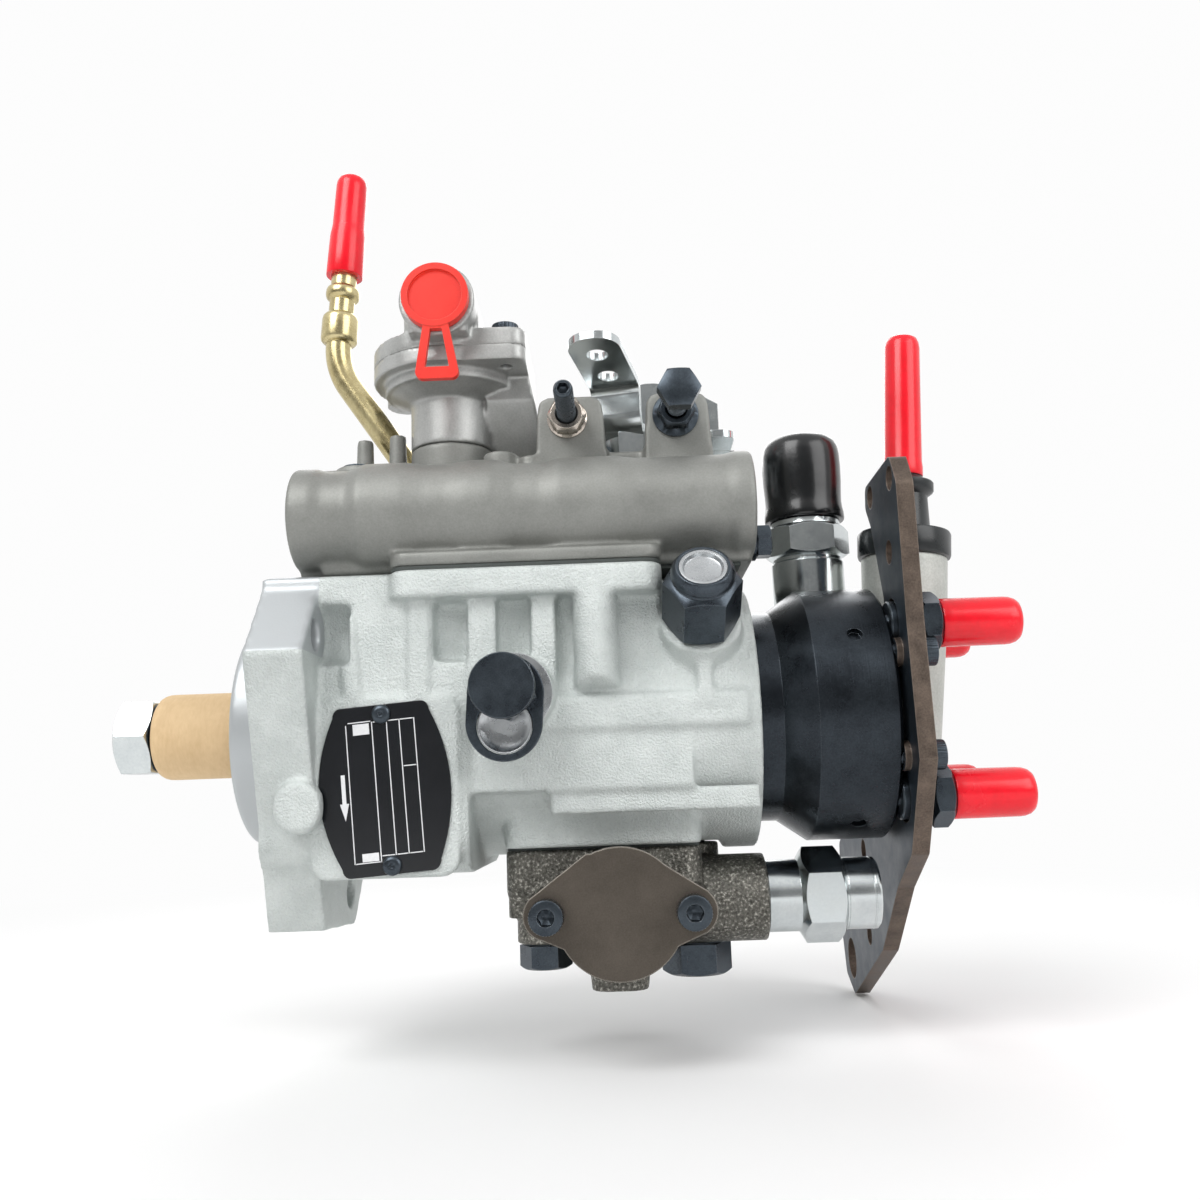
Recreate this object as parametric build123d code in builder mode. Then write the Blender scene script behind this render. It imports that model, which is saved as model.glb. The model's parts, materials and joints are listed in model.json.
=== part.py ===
"""Rotary distributor injection pump, millimetres.

Origin: centre of the flange's mounting face, on the drive shaft's axis.
+X runs from the drive end to the outlets, +Z is up, -Y is the side with the nameplate.
"""
from build123d import *
from math import cos, radians, sin
import os

os.makedirs("parts", exist_ok=True)

# ---------------------------------------------------------------- driving sizes
running_fit = 0.05        # radial clearance of everything that turns or slides in a bore
seat_gap = 0.3            # air between a moving piece and what stops or drives it

spigot_dia = 68.0
spigot_length = 11.3
flange_thickness = 16.2
bolt_circle = 98.0
bolt_hole_dia = 9.0
bolt_angles = (150, 270, 30)

body_half_width = 40.5    # flat sides of the governor end
body_floor = 42.5         # axis to the underside of the governor end
body_end = 58.0           # where the flat-sided end turns into the barrel
barrel_dia = 78.6
barrel_end = 139.6
chamber_dia = 67.0
chamber_start = 26.0
head_bore_dia = 60.0
deck_height = 41.5        # axis to the face that carries the cover
rim_half_width = 45.5
rim_start = 36.5
rim_end = 113.4
rim_depth = 8.2
pad_drop = 36.6           # axis to the face that carries the advance unit

gasket_thickness = 1.0
cover_start = 7.5
cover_end = 141.0
cover_top = deck_height + 34.0
cover_hollow = 23.5       # depth of the space under the cover
roll_radius = 15.2
roll_offset = 30.5
roll_height = deck_height + 18.5

shaft_journal_dia = 25.0
shaft_mid_dia = 18.0
nut_flats = 22.0
nut_start = -53.2
nut_length = 6.9
washer_length = 2.3
sleeve_dia = 26.5

head_dia = 76.4
head_neck_dia = 64.0
head_end = 178.7
rotor_dia = 20.0
outlet_radius = 34.8
outlet_angles = (47.5, 137.5, 227.5, 317.5)
holder_flats = 17.0

cam_centre = 98.2         # also the advance unit's centre along the shaft
cam_width = 16.0
cam_outer_dia = 63.9
cam_inner_dia = 46.0
advance_drop = 53.6       # shaft axis down to the advance piston's axis
advance_bore_dia = 22.0
advance_near = 42.5       # near end face of the advance body
advance_far = 36.0
advance_travel = 4.0      # piston travel each way
head_seat = cam_centre + cam_width / 2 + seat_gap    # inner face of the hydraulic head

bracket_start = 180.5
bracket_thickness = 5.0

boost_x = 49.0
boost_neck_dia = 26.4
boost_seam = cover_top + 13.2
boost_flange_height = boost_seam + 22.2
boost_layer = 4.9
boost_travel = 4.0

throttle_x = 106.0
throttle_y = 8.0
throttle_shaft_dia = 10.0
throttle_boss = cover_top + 2.5      # top of the cast boss round the throttle shaft
stop_x = 134.5
stop_y = 21.0
stop_shaft_dia = 6.0
stop_plate = cover_top + 15.0        # underside of the stop lever's plate
screw_height = cover_top + 15.0      # axis of the two throttle stop screws
throttle_sweep = 38.0     # degrees between the two screws
lever_low = cover_top + 14.4         # underside of the lever's hub plate
lever_plate = 2.4
lever_lift = 16.4         # joggle up to the arm
lever_front = 14.5        # shaft axis to the front of the joggle
arm_reach = 45.8
arm_rise = 4.6            # climb of the arm along its length
arm_width = 16.0
arm_lean = 14.0           # degrees the arm points off -Y at rest
tab_thickness = 2.4
tab_width = 6.0
spring_cup_radius = 11.0
idle_tab = (14.4, -12.4)              # from the shaft, at rest
speed_tab = (-18.5, -7.6)             # from the shaft, turned the full sweep
idle_screw_x = throttle_x + idle_tab[0]
speed_screw_x = throttle_x + speed_tab[0]


# ---------------------------------------------------------------- shared helpers
def near_plane(x, y, z):
    """Plane that faces the nameplate side (-Y), local axes along +X and +Z."""
    return Plane(origin=(x, y, z), x_dir=(1, 0, 0), z_dir=(0, -1, 0))


def turned(points, plane=Plane.XZ):
    """Solid of revolution about the plane's local x axis, from (along, radius) points."""
    with BuildPart() as piece:
        with BuildSketch(plane):
            with BuildLine():
                Polyline(*points, close=True)
            make_face()
        revolve(axis=Axis(plane.origin, plane.x_dir))
    return piece.part


def bolt(plane, flats, head, shank_dia, shank, socket=0.0):
    """Hexagon or, with a socket, cylinder-headed screw; the plane is the head's seat."""
    with BuildPart() as piece:
        with BuildSketch(plane):
            if socket:
                Circle(flats / 2)
            else:
                RegularPolygon(radius=flats / 2, side_count=6, major_radius=False)
        extrude(amount=head)
        if socket:
            with BuildSketch(plane.offset(head)):
                RegularPolygon(radius=socket / 2, side_count=6, major_radius=False)
            extrude(amount=-head * 0.6, mode=Mode.SUBTRACT)
        with BuildSketch(plane):
            Circle(shank_dia / 2)
        extrude(amount=-shank)
    return piece.part


def coil(plane, radius, wire, length, turns):
    """Spring as a stack of rounded turns, cheap to mesh."""
    pitch = length / turns
    points = [(0, radius - wire)]
    for turn in range(turns):
        start = turn * pitch
        points += [(start + pitch * 0.1, radius), (start + pitch * 0.6, radius), (start + pitch * 0.85, radius - wire * 0.6)]
    points += [(length, radius - wire)]
    return turned(points + [(length, radius - wire * 1.3), (0, radius - wire * 1.3)], plane)



# ---------------------------------------------------------------- positions used by several pieces
bolt_points = [(bolt_circle / 2 * cos(radians(a)), bolt_circle / 2 * sin(radians(a))) for a in bolt_angles]
outlet_points = [(outlet_radius * cos(radians(a)), outlet_radius * sin(radians(a))) for a in outlet_angles]
cover_bottom = deck_height + gasket_thickness
linkage_height = cover_bottom + 16.9           # underside of the link to the metering valve
bracket_end = bracket_start + bracket_thickness
plate_face = -body_half_width - 1.2          # raised pad under the nameplate
pad_half_width = 29.0
pad_start = 66.0
pad_end = 122.0
lock_x, lock_z = 69.5, 5.5
lock_face = -48.5
vent_x, vent_tilt = 124.0, 34.0
vent_seat = 6.0                      # face of the vent fitting's boss above its plane
vent_plane = Plane(origin=(vent_x, -39.0 * cos(radians(vent_tilt)), 39.0 * sin(radians(vent_tilt))),
                   x_dir=(1, 0, 0), z_dir=(0, -cos(radians(vent_tilt)), sin(radians(vent_tilt))))
bracket_screws_at = [(-32.3, 14.6), (-32.3, -14.6), (32.3, -14.6)]
advance_bolts_at = [(76.5, -18.0), (120.5, 0.0)]   # the second reaches into the hydraulic head
cover_screws_at = [(24.0, -24.0), (24.0, 24.0), (70.0, 26.0), (122.0, 26.0)]
end_screw_at = (-24.0, cover_bottom + 7.5)
metering_x = 120.0
rivets_at = [(34.3, 1.6), (35.3, -39.3)]
plate_sheet = 0.6                    # thickness of the nameplate
bracket_holes_at = [(-35.4, 65), (-10, 66.0), (-28.4, 44.5), (38.5, -43.7), (38.7, -71.1)]
bracket_foot_at = (71.8, -83.2)
inlet_x, inlet_y = 194.0, 7.2        # axis of the fuel inlet tower, at 50 above the shaft
plug_y, plug_z, plug_start = -8.0, -53.5, 141.0
advance_seal = 0.8                   # gasket over the advance unit
advance_bolt_seats = (-63.4, -66.3)
plate_thickness = 3.0
plate_screws_at = [(78.8, -53.6), (117.7, -53.6)]
plate_radius = 17.4                  # advance cover plate's round middle
ear_radius = 6.4
plate_outline = [(74.0, -49.2), (89.6, -37.8), (105.0, -37.8), (121.9, -48.6), (121.3, -59.0), (113.2, -62.4),
                 (105.0, -53.6), (91.0, -53.6), (83.4, -62.4), (75.4, -59.0)]
stud_ball_dia = 8.0
shaft_shoulder = nut_start + nut_length + washer_length
rotor_start = 86.0
weight_pivot = (37.0, 22.0)          # along the shaft, and out from its axis
arm_pivot = (66.0, 30.0)             # pivot of the governor arm, X and Z
pivot_pin_length = 42.0
pipe_foot = (33.2, 12.0)



def weight_plane(quarter):
    """Plane through the shaft's axis with local axes along the shaft and outward."""
    angle = radians(90 * quarter + 45)
    return Plane(origin=(0, 0, 0), x_dir=(1, 0, 0), z_dir=(0, -sin(angle), cos(angle)))


# ---------------------------------------------------------------- pump housing
with BuildPart() as pump_housing:
    # mounting flange, cut to the three bolts
    with BuildSketch(Plane.YZ):
        with BuildLine():
            Polyline((-57, 18), (-37, deck_height + 0.7), (37, deck_height + 0.7), (57, 18), (17.2, -46.1), (6.5, -58.9), (-29.9, -57),
                     close=True)
        make_face()
        fillet(vertices().group_by(Axis.Y)[0], 4)
    extrude(amount=flange_thickness)
    # flat-sided governor end
    with BuildSketch(Plane.YZ):
        with Locations((0, (deck_height - body_floor) / 2)):
            RectangleRounded(2 * body_half_width, deck_height + body_floor, 11)
        with Locations((0, deck_height / 2)):
            Rectangle(2 * body_half_width, deck_height)
    extrude(amount=body_end)
    # barrel and its upper box
    with BuildSketch(Plane.YZ):
        Circle(barrel_dia / 2)
    extrude(amount=barrel_end)
    with BuildSketch(Plane.YZ.offset(body_end - 1)):
        with Locations((0, deck_height / 2)):
            Rectangle(2 * (body_half_width - 4.0), deck_height)
    extrude(amount=rim_end - body_end + 1)
    with BuildSketch(Plane.YZ.offset(rim_end - 6)):
        with Locations((0, deck_height / 2 - 2)):
            Rectangle(66, deck_height - 4)
    extrude(amount=barrel_end - rim_end + 2)
    # rim that carries the cover
    with BuildSketch(Plane.XY.offset(deck_height)):
        with Locations(((rim_start + rim_end) / 2, 0)):
            RectangleRounded(rim_end - rim_start, 2 * rim_half_width, 5)
    extrude(amount=-rim_depth)
    # ribs under the rim
    for rib_x, rib_width in ((44.5, 5.4), (62.4, 8.0), (79.6, 7.0)):
        for side in (-1, 1):
            with BuildSketch(near_plane(rib_x, side * (body_half_width + 1.3), 21)):
                Rectangle(rib_width, 32)
            extrude(amount=side * 8)
    # pockets between the ribs, on both sides
    for pocket_x, pocket_width in ((53.5, 9.5), (71.8, 8.0), (86.5, 5.0)):
        with Locations((pocket_x, -body_half_width, 24.5), (pocket_x, body_half_width, 24.5)):
            Box(pocket_width, 9, 17, mode=Mode.SUBTRACT)
    # cast cylinder with the sloping end
    for side in (-1, 1):
        with Locations(Location((94.2, side * 40.0, 7.0))):
            Cylinder(6.3, deck_height - 9, align=(Align.CENTER, Align.CENTER, Align.MIN))
        with Locations(Location((94.2, side * 43.0, 3.5), (side * 32, 0, 0))):
            Box(14, 14, 7, mode=Mode.SUBTRACT)
    # pad for the advance unit, with the bolt lug at its drive end
    with BuildSketch(Plane.XY.offset(-pad_drop)):
        with Locations(((pad_start + pad_end) / 2, 0)):
            RectangleRounded(pad_end - pad_start, 2 * pad_half_width, 4)
    extrude(amount=pad_drop - 16)
    with BuildSketch(Plane.XY.offset(-pad_drop)):
        with Locations(((pad_start + pad_end) / 2 + 3.5, 0)):
            Rectangle(pad_end - pad_start + 8, 2 * pad_half_width + 2)
    extrude(amount=-6, mode=Mode.SUBTRACT)
    # terraces cast along the barrel
    for low, high, start, end in ((-4.5, 5.0, 62, 136), (-21.0, -4.5, 58, 120), (-27.5, -21.0, 80, 138)):
        for side in (-1, 1):
            with BuildSketch(Plane.YZ.offset(start)):
                with Locations((side * 36.5, (low + high) / 2)):
                    Rectangle(8.4 - abs(low + high) * 0.12, high - low)
            extrude(amount=end - start)
    # boss of the lock bolt
    with BuildSketch(near_plane(lock_x + 1.5, -30, lock_z)):
        Circle(11.4)
    extrude(amount=-lock_face - 30)
    # boss of the vent fitting
    with BuildSketch(vent_plane.offset(vent_seat)):
        Circle(11.6)
    extrude(amount=-22 - vent_seat, taper=-6)
    with BuildSketch(vent_plane.offset(vent_seat)):
        Circle(12.4)
    extrude(amount=16, mode=Mode.SUBTRACT)
    # short rib under the vent boss
    with BuildSketch(near_plane(124, -38, 7)):
        Rectangle(4.4, 12)
    extrude(amount=3.2)
    # raised pad of the nameplate
    with BuildSketch(near_plane(35.0, -body_half_width + 2, -18.3)):
        RectangleRounded(41, 49, 5)
    extrude(amount=-plate_face - body_half_width + 2)
    # cast bead behind the flange and the boss on its near edge
    with BuildSketch(near_plane(25.0, -body_half_width + 1, 18)):
        SlotOverall(25, 4.6, rotation=96)
    extrude(amount=2.6)
    with BuildSketch(near_plane(12.5, -44, -23)):
        RectangleRounded(14, 15, 6.5)
    extrude(amount=3.6, taper=12)
    # spigot that centres the pump
    with BuildSketch(Plane.YZ):
        Circle(spigot_dia / 2)
    extrude(amount=-spigot_length)
    chamfer(faces().sort_by(Axis.X)[0].edges(), 1.2)
    # bores: seal, bearing, governor chamber, cam seat, head seat
    with BuildSketch(Plane.YZ.offset(-spigot_length)):
        Circle(21)
    extrude(amount=7, mode=Mode.SUBTRACT)
    with BuildSketch(Plane.YZ.offset(-spigot_length)):
        Circle(16)
    extrude(amount=chamber_start + spigot_length, mode=Mode.SUBTRACT)
    with BuildSketch(Plane.YZ.offset(chamber_start)):
        Circle(chamber_dia / 2)
    extrude(amount=cam_centre - cam_width / 2 - chamber_start - 1, mode=Mode.SUBTRACT)
    with BuildSketch(Plane.YZ.offset(barrel_end)):
        Circle(cam_outer_dia / 2 + running_fit)
    extrude(amount=cam_centre - cam_width / 2 - 1 - barrel_end, mode=Mode.SUBTRACT)
    # way up into the cover, way down to the advance piston, and the metering valve's hole
    with BuildSketch(Plane.XY.offset(deck_height)):
        with Locations((75.0, 0)):
            RectangleRounded(74, 34, 6)
        with Locations((metering_x, 0)):
            Circle(9)
    extrude(amount=-26, mode=Mode.SUBTRACT)
    with BuildSketch(Plane.XY.offset(-pad_drop)):
        with Locations((cam_centre, 0)):
            SlotOverall(30, 15, rotation=90)
    extrude(amount=16, mode=Mode.SUBTRACT)
    # holes for the flange bolts, the lock bolt and the advance unit's bolts
    with BuildSketch(Plane.YZ.offset(-1)):
        with Locations(*bolt_points):
            Circle(bolt_hole_dia / 2)
    extrude(amount=flange_thickness + 1, mode=Mode.SUBTRACT)
    with BuildSketch(Plane.YZ.offset(flange_thickness)):
        with Locations(*bolt_points):
            Circle(bolt_hole_dia)
    extrude(amount=9, mode=Mode.SUBTRACT)
    with BuildSketch(near_plane(lock_x, lock_face, lock_z)):
        Circle(5.1)
    extrude(amount=-11, mode=Mode.SUBTRACT)
    with BuildSketch(near_plane(lock_x, lock_face, lock_z - 8.0)):
        Circle(7.6)
    extrude(amount=-2.6, mode=Mode.SUBTRACT)
    with BuildSketch(Plane.XY.offset(-pad_drop)):
        with Locations(*advance_bolts_at):
            Circle(4.1)
    extrude(amount=10, mode=Mode.SUBTRACT)
    with BuildSketch(vent_plane.offset(vent_seat)):
        Circle(5.1)
    extrude(amount=-9 - vent_seat, mode=Mode.SUBTRACT)
    # holes for the nameplate's rivets and the governor arm's pivot pin
    with BuildSketch(near_plane(0, plate_face, 0)):
        with Locations(*rivets_at):
            Circle(1.3)
    extrude(amount=-4, mode=Mode.SUBTRACT)
    with BuildSketch(near_plane(arm_pivot[0], -pivot_pin_length / 2, arm_pivot[1])):
        Circle(1.5)
    extrude(amount=-pivot_pin_length, mode=Mode.SUBTRACT)

# ---------------------------------------------------------------- governor cover
roll_profile = [(cover_start, 0), (cover_start, roll_radius - 0.8), (cover_start + 0.8, roll_radius),
                (14, roll_radius), (17, roll_radius - 0.9), (24, roll_radius - 0.9), (28, roll_radius + 0.9),
                (40, roll_radius + 0.9), (46, roll_radius + 0.1), (53, roll_radius + 0.1), (59, roll_radius + 0.9),
                (66, roll_radius + 0.9), (72, roll_radius - 0.7), (80, roll_radius - 0.7), (85, roll_radius + 0.6),
                (101, roll_radius + 0.6), (107, roll_radius - 0.3), (cover_end - 8, roll_radius - 0.3),
                (cover_end - 5, roll_radius + 0.5), (cover_end - 0.8, roll_radius + 0.5),
                (cover_end, roll_radius - 0.3), (cover_end, 0)]
with BuildPart() as governor_cover:
    with BuildSketch(Plane.YZ.offset(cover_start + 0.6)):
        with Locations((0, (cover_top + cover_bottom) / 2)):
            Rectangle(2 * roll_offset, cover_top - cover_bottom)
    extrude(amount=cover_end - cover_start - 1.2)
    for side in (-1, 1):
        add(turned(roll_profile, Plane(origin=(0, side * roll_offset, roll_height), x_dir=(1, 0, 0), z_dir=(0, -1, 0))))
    # flange on the gasket, wide over the rim and narrower beyond it
    with BuildSketch(Plane.XY.offset(cover_bottom)):
        with Locations(((rim_start + rim_end) / 2, 0)):
            RectangleRounded(rim_end - rim_start, 2 * rim_half_width - 2, 5)
        with Locations(((cover_start + 8 + barrel_end) / 2, 0)):
            Rectangle(barrel_end - cover_start - 8, 70)
    extrude(amount=4.2)
    # ears of the two stop screws
    for ear_x, ear_width in ((88.4, 20.5), (121.0, 19.5)):
        with BuildSketch(near_plane(ear_x, -24, 0)):
            with BuildLine():
                Polyline((-ear_width / 2 - 1.2, cover_top - 5.5), (ear_width / 2 + 1.2, cover_top - 5.5),
                         (ear_width / 2 - 0.6, cover_top + 22.2), (-ear_width / 2 + 0.6, cover_top + 22.2), close=True)
            make_face()
            fillet(vertices().group_by(Axis.Z)[-1], 3.5)
        extrude(amount=-13)
    with BuildSketch(near_plane(104.5, -22, cover_top + 0.5)):
        Rectangle(16, 9)
    extrude(amount=-4)
    # bosses: boost control, throttle shaft, stop shaft, pipe, cover screws, die lumps
    for boss_x, boss_y, boss_radius, boss_top in ((boost_x, 0, boost_neck_dia / 2, boost_seam),
                                                  (throttle_x, throttle_y, 9.5, throttle_boss),
                                                  (stop_x, stop_y, 6.2, cover_top + 3.5),
                                                  (*pipe_foot, 6.5, cover_top + 3.2), (66.5, -21.0, 5.0, cover_top + 5.5),
                                                  (76.0, -21.0, 4.2, cover_top + 4.0), (41, -17, 4, cover_top + 3.5)):
        with BuildSketch(Plane.XY.offset(cover_top - 4)):
            with Locations((boss_x, boss_y)):
                Circle(boss_radius)
        extrude(amount=boss_top - cover_top + 4)
    with BuildSketch(Plane.XY.offset(cover_top - 4)):
        with Locations(*cover_screws_at):
            Circle(6.6)
    extrude(amount=5.5)
    for pin_x, pin_y in ((19.5, 5.0), (31.0, 1.0)):
        with BuildSketch(Plane.XY.offset(cover_top - 3.5)):
            with Locations((pin_x, pin_y)):
                Circle(3.3)
        extrude(amount=23.5, taper=1.5)
    # hollow underneath
    with BuildSketch(Plane.XY.offset(cover_bottom)):
        with Locations((81, 0)):
            RectangleRounded(94, 36, 6)
        with Locations((stop_x - 1.9, stop_y - 1)):
            RectangleRounded(11.2, 16, 2)
    extrude(amount=cover_hollow, mode=Mode.SUBTRACT)
    # bores
    with BuildSketch(Plane.XY.offset(cover_bottom + cover_hollow - 1)):
        with Locations((throttle_x, throttle_y)):
            Circle(throttle_shaft_dia / 2 + running_fit)
        with Locations((stop_x, stop_y)):
            Circle(stop_shaft_dia / 2 + running_fit)
        with Locations((boost_x, 0)):
            Circle(4)
    extrude(amount=40, mode=Mode.SUBTRACT)
    with BuildSketch(Plane.XY.offset(cover_top + 1.5)):
        with Locations(pipe_foot):
            Circle(4.35)
    extrude(amount=8, mode=Mode.SUBTRACT)
    with BuildSketch(Plane.XY.offset(cover_bottom - 1)):
        with Locations(*cover_screws_at):
            Circle(3.1)
    extrude(amount=50, mode=Mode.SUBTRACT)
    for screw_x in (speed_screw_x, idle_screw_x):
        with BuildSketch(near_plane(screw_x, -30, screw_height)):
            Circle(3.05)
        extrude(amount=-30, mode=Mode.SUBTRACT)
    with BuildSketch(Plane.YZ.offset(cover_end)):
        with Locations(end_screw_at):
            Circle(3.05)
    extrude(amount=-8, mode=Mode.SUBTRACT)

with BuildPart() as cover_gasket:
    with BuildSketch(Plane.XY.offset(deck_height)):
        with Locations(((rim_start + rim_end) / 2, 0)):
            RectangleRounded(rim_end - rim_start - 0.6, 2 * rim_half_width - 2.8, 5)
        with Locations(((16.5 + barrel_end - 3) / 2, 0)):
            Rectangle(barrel_end - 3 - 16.5, 66)
        with Locations((81, 0)):
            RectangleRounded(94, 36, 6, mode=Mode.SUBTRACT)
        with Locations(*cover_screws_at):
            Circle(3.3, mode=Mode.SUBTRACT)
    extrude(amount=gasket_thickness)

with BuildPart() as cover_screws:
    for spot in cover_screws_at:
        add(bolt(Plane.XY.offset(cover_top + 1.5).shift_origin((*spot, cover_top + 1.5)), 10, 6, 6,
                 cover_top + 1.5 - deck_height, socket=5))
    add(bolt(Plane(origin=(cover_end + 1.2, *end_screw_at), x_dir=(0, 1, 0), z_dir=(1, 0, 0)), 9, 4.6, 6, 8))
    with BuildSketch(Plane.YZ.offset(cover_end)):
        with Locations(end_screw_at):
            Circle(5.6)
            Circle(3, mode=Mode.SUBTRACT)
    extrude(amount=1.2)


# ---------------------------------------------------------------- throttle and stop controls
def lever_sketch_plane(height, turn=0.0):
    """Horizontal plane on the throttle shaft's axis; turned back from the pose its shape was set in."""
    return Plane(origin=(throttle_x, throttle_y, height), z_dir=(0, 0, 1),
                 x_dir=(cos(radians(turn)), -sin(radians(turn)), 0))


def stop_tab(place, turn):
    """Tab bent up from the lever; square to its stop screw when the lever is turned by `turn`."""
    with BuildPart() as tab:
        with BuildSketch(lever_sketch_plane(lever_low, turn)):
            with Locations(place):
                Rectangle(tab_width, tab_thickness)
        extrude(amount=screw_height - lever_low + 4)
        with BuildSketch(lever_sketch_plane(lever_low, turn)):
            with BuildLine():
                Polyline((0, 9), (place[0], place[1] + tab_thickness / 2), (place[0] * 1.1, place[1] - tab_thickness / 2),
                         (0, -9), close=True)
            make_face()
        extrude(amount=lever_plate)
    return tab.part


def lever_arm():
    """Joggled arm with the two linkage holes, its side profile cut to a rounded plan."""
    along = Vector(-sin(radians(arm_lean)), -cos(radians(arm_lean)), 0)
    across = Vector(-along.Y, along.X, 0)
    tip = lever_lift + arm_rise
    corners = {(lever_front, 0): 8.0, (lever_front - lever_plate, lever_plate): 5.6, (lever_front, lever_lift): 3.0,
               (lever_front - lever_plate, lever_lift + lever_plate): 5.4}
    with BuildPart() as arm:
        with BuildSketch(Plane(origin=(throttle_x, throttle_y, lever_low), x_dir=along, z_dir=along.cross(Vector(0, 0, 1)))):
            with BuildLine():
                Polyline((0, 0), (lever_front, 0), (lever_front, lever_lift), (arm_reach, tip), (arm_reach, tip + lever_plate),
                         (lever_front - lever_plate, lever_lift + lever_plate), (lever_front - lever_plate, lever_plate),
                         (0, lever_plate), close=True)
            make_face()
            for corner, bend in corners.items():
                fillet(vertices().sort_by(lambda v: abs(v.X - corner[0]) + abs(v.Y - corner[1]))[0], bend)
        extrude(amount=arm_width / 2, both=True)
        with BuildSketch(Plane(origin=(throttle_x, throttle_y, lever_low - 1), x_dir=along, z_dir=(0, 0, 1))):
            with Locations((arm_reach / 2 + 2, 0)):
                RectangleRounded(arm_reach - 4, arm_width, 7)
            with Locations((10, 0)):
                Rectangle(20, arm_width)
        extrude(amount=lever_lift + 10, mode=Mode.INTERSECT)
        with BuildSketch(Plane(origin=(throttle_x, throttle_y, lever_low + lever_lift - 1), x_dir=along, z_dir=(0, 0, 1))):
            with Locations((arm_reach - 23, 0), (arm_reach - 9.8, 0)):
                Circle(3.3)
        extrude(amount=14, mode=Mode.SUBTRACT)
    return arm.part


with BuildPart() as throttle_lever:
    with BuildSketch(lever_sketch_plane(lever_low)):
        Circle(spring_cup_radius)
        with Locations((6, 2)):
            RectangleRounded(23, 17, 3)
    extrude(amount=lever_plate)
    add(stop_tab(idle_tab, 0))
    add(stop_tab(speed_tab, throttle_sweep))
    add(lever_arm())
    # cup round the return spring, and the notched tab in front of it
    with BuildSketch(lever_sketch_plane(throttle_boss + 1.0)):
        Circle(spring_cup_radius)
        Circle(spring_cup_radius - 1.4, mode=Mode.SUBTRACT)
    extrude(amount=lever_low - throttle_boss - 1.0)
    with BuildSketch(lever_sketch_plane(lever_low - 4.6)):
        with Locations((1.5, -spring_cup_radius - 0.4)):
            Rectangle(9, 2)
    extrude(amount=4.6 + lever_plate)
    # upright tab at the back of the plate
    with BuildSketch(Plane(origin=(throttle_x + 8.7, throttle_y + 8.2, lever_low), x_dir=(1, 0, 0), z_dir=(0, -1, 0))):
        with Locations((0, 13)):
            RectangleRounded(16, 26, 7)
        with Locations((0, 5)):
            Rectangle(16, 10)
    extrude(amount=-2)
    # shaft down into the cover, with the crank that holds the governor spring
    with BuildSketch(lever_sketch_plane(linkage_height - 3.4)):
        Circle(throttle_shaft_dia / 2)
    extrude(amount=lever_low + lever_plate - linkage_height + 3.4)
    with BuildSketch(lever_sketch_plane(linkage_height - 3.4)):
        with BuildLine():
            Polyline((-3, 5), (5, 3), (5, -5), (-8, -11), (-12, -6), close=True)
        make_face()
    extrude(amount=2.4)
    with BuildSketch(lever_sketch_plane(linkage_height - 12.4)):
        with Locations((-8.5, -8)):
            Circle(1.6)
    extrude(amount=9)
    # nut on top
    with BuildSketch(lever_sketch_plane(lever_low + lever_plate)):
        RegularPolygon(radius=6.5, side_count=6, major_radius=False)
    extrude(amount=5.5)
    with BuildSketch(lever_sketch_plane(lever_low + lever_plate)):
        Circle(3.9)
    extrude(amount=9)

with BuildPart() as throttle_spring:
    add(coil(Plane(origin=(throttle_x, throttle_y, throttle_boss + seat_gap), x_dir=(0, 0, 1), z_dir=(1, 0, 0)), 8.6, 1.8,
             lever_low - throttle_boss - 2 * seat_gap, 5))

# stop screws, each ending just short of its tab
with BuildPart() as low_idle_screw:
    add(bolt(near_plane(idle_screw_x, -44, screw_height), 10, 5, 6,
             44 + throttle_y + idle_tab[1] - tab_thickness / 2 - seat_gap))
with BuildPart() as stop_screw_nuts:
    with BuildSketch(near_plane(idle_screw_x, -24, screw_height)):
        Circle(7)
        Circle(3, mode=Mode.SUBTRACT)
    extrude(amount=1.4)
    with BuildSketch(near_plane(idle_screw_x, -25.4, screw_height)):
        RegularPolygon(radius=5, side_count=6, major_radius=False)
        Circle(3, mode=Mode.SUBTRACT)
    extrude(amount=5)
    with BuildSketch(near_plane(speed_screw_x, -24, screw_height)):
        RegularPolygon(radius=5.7, side_count=6, major_radius=False)
        Circle(3, mode=Mode.SUBTRACT)
    extrude(amount=5.2)
with BuildPart() as max_speed_screw:
    with BuildSketch(near_plane(speed_screw_x, -51, screw_height)):
        Circle(3)
    extrude(amount=-(51 + throttle_y + speed_tab[1] - tab_thickness / 2 - seat_gap))
    with BuildSketch(near_plane(speed_screw_x, -51, screw_height)):
        RegularPolygon(radius=1.5, side_count=6, major_radius=False)
    extrude(amount=-3, mode=Mode.SUBTRACT)
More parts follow.
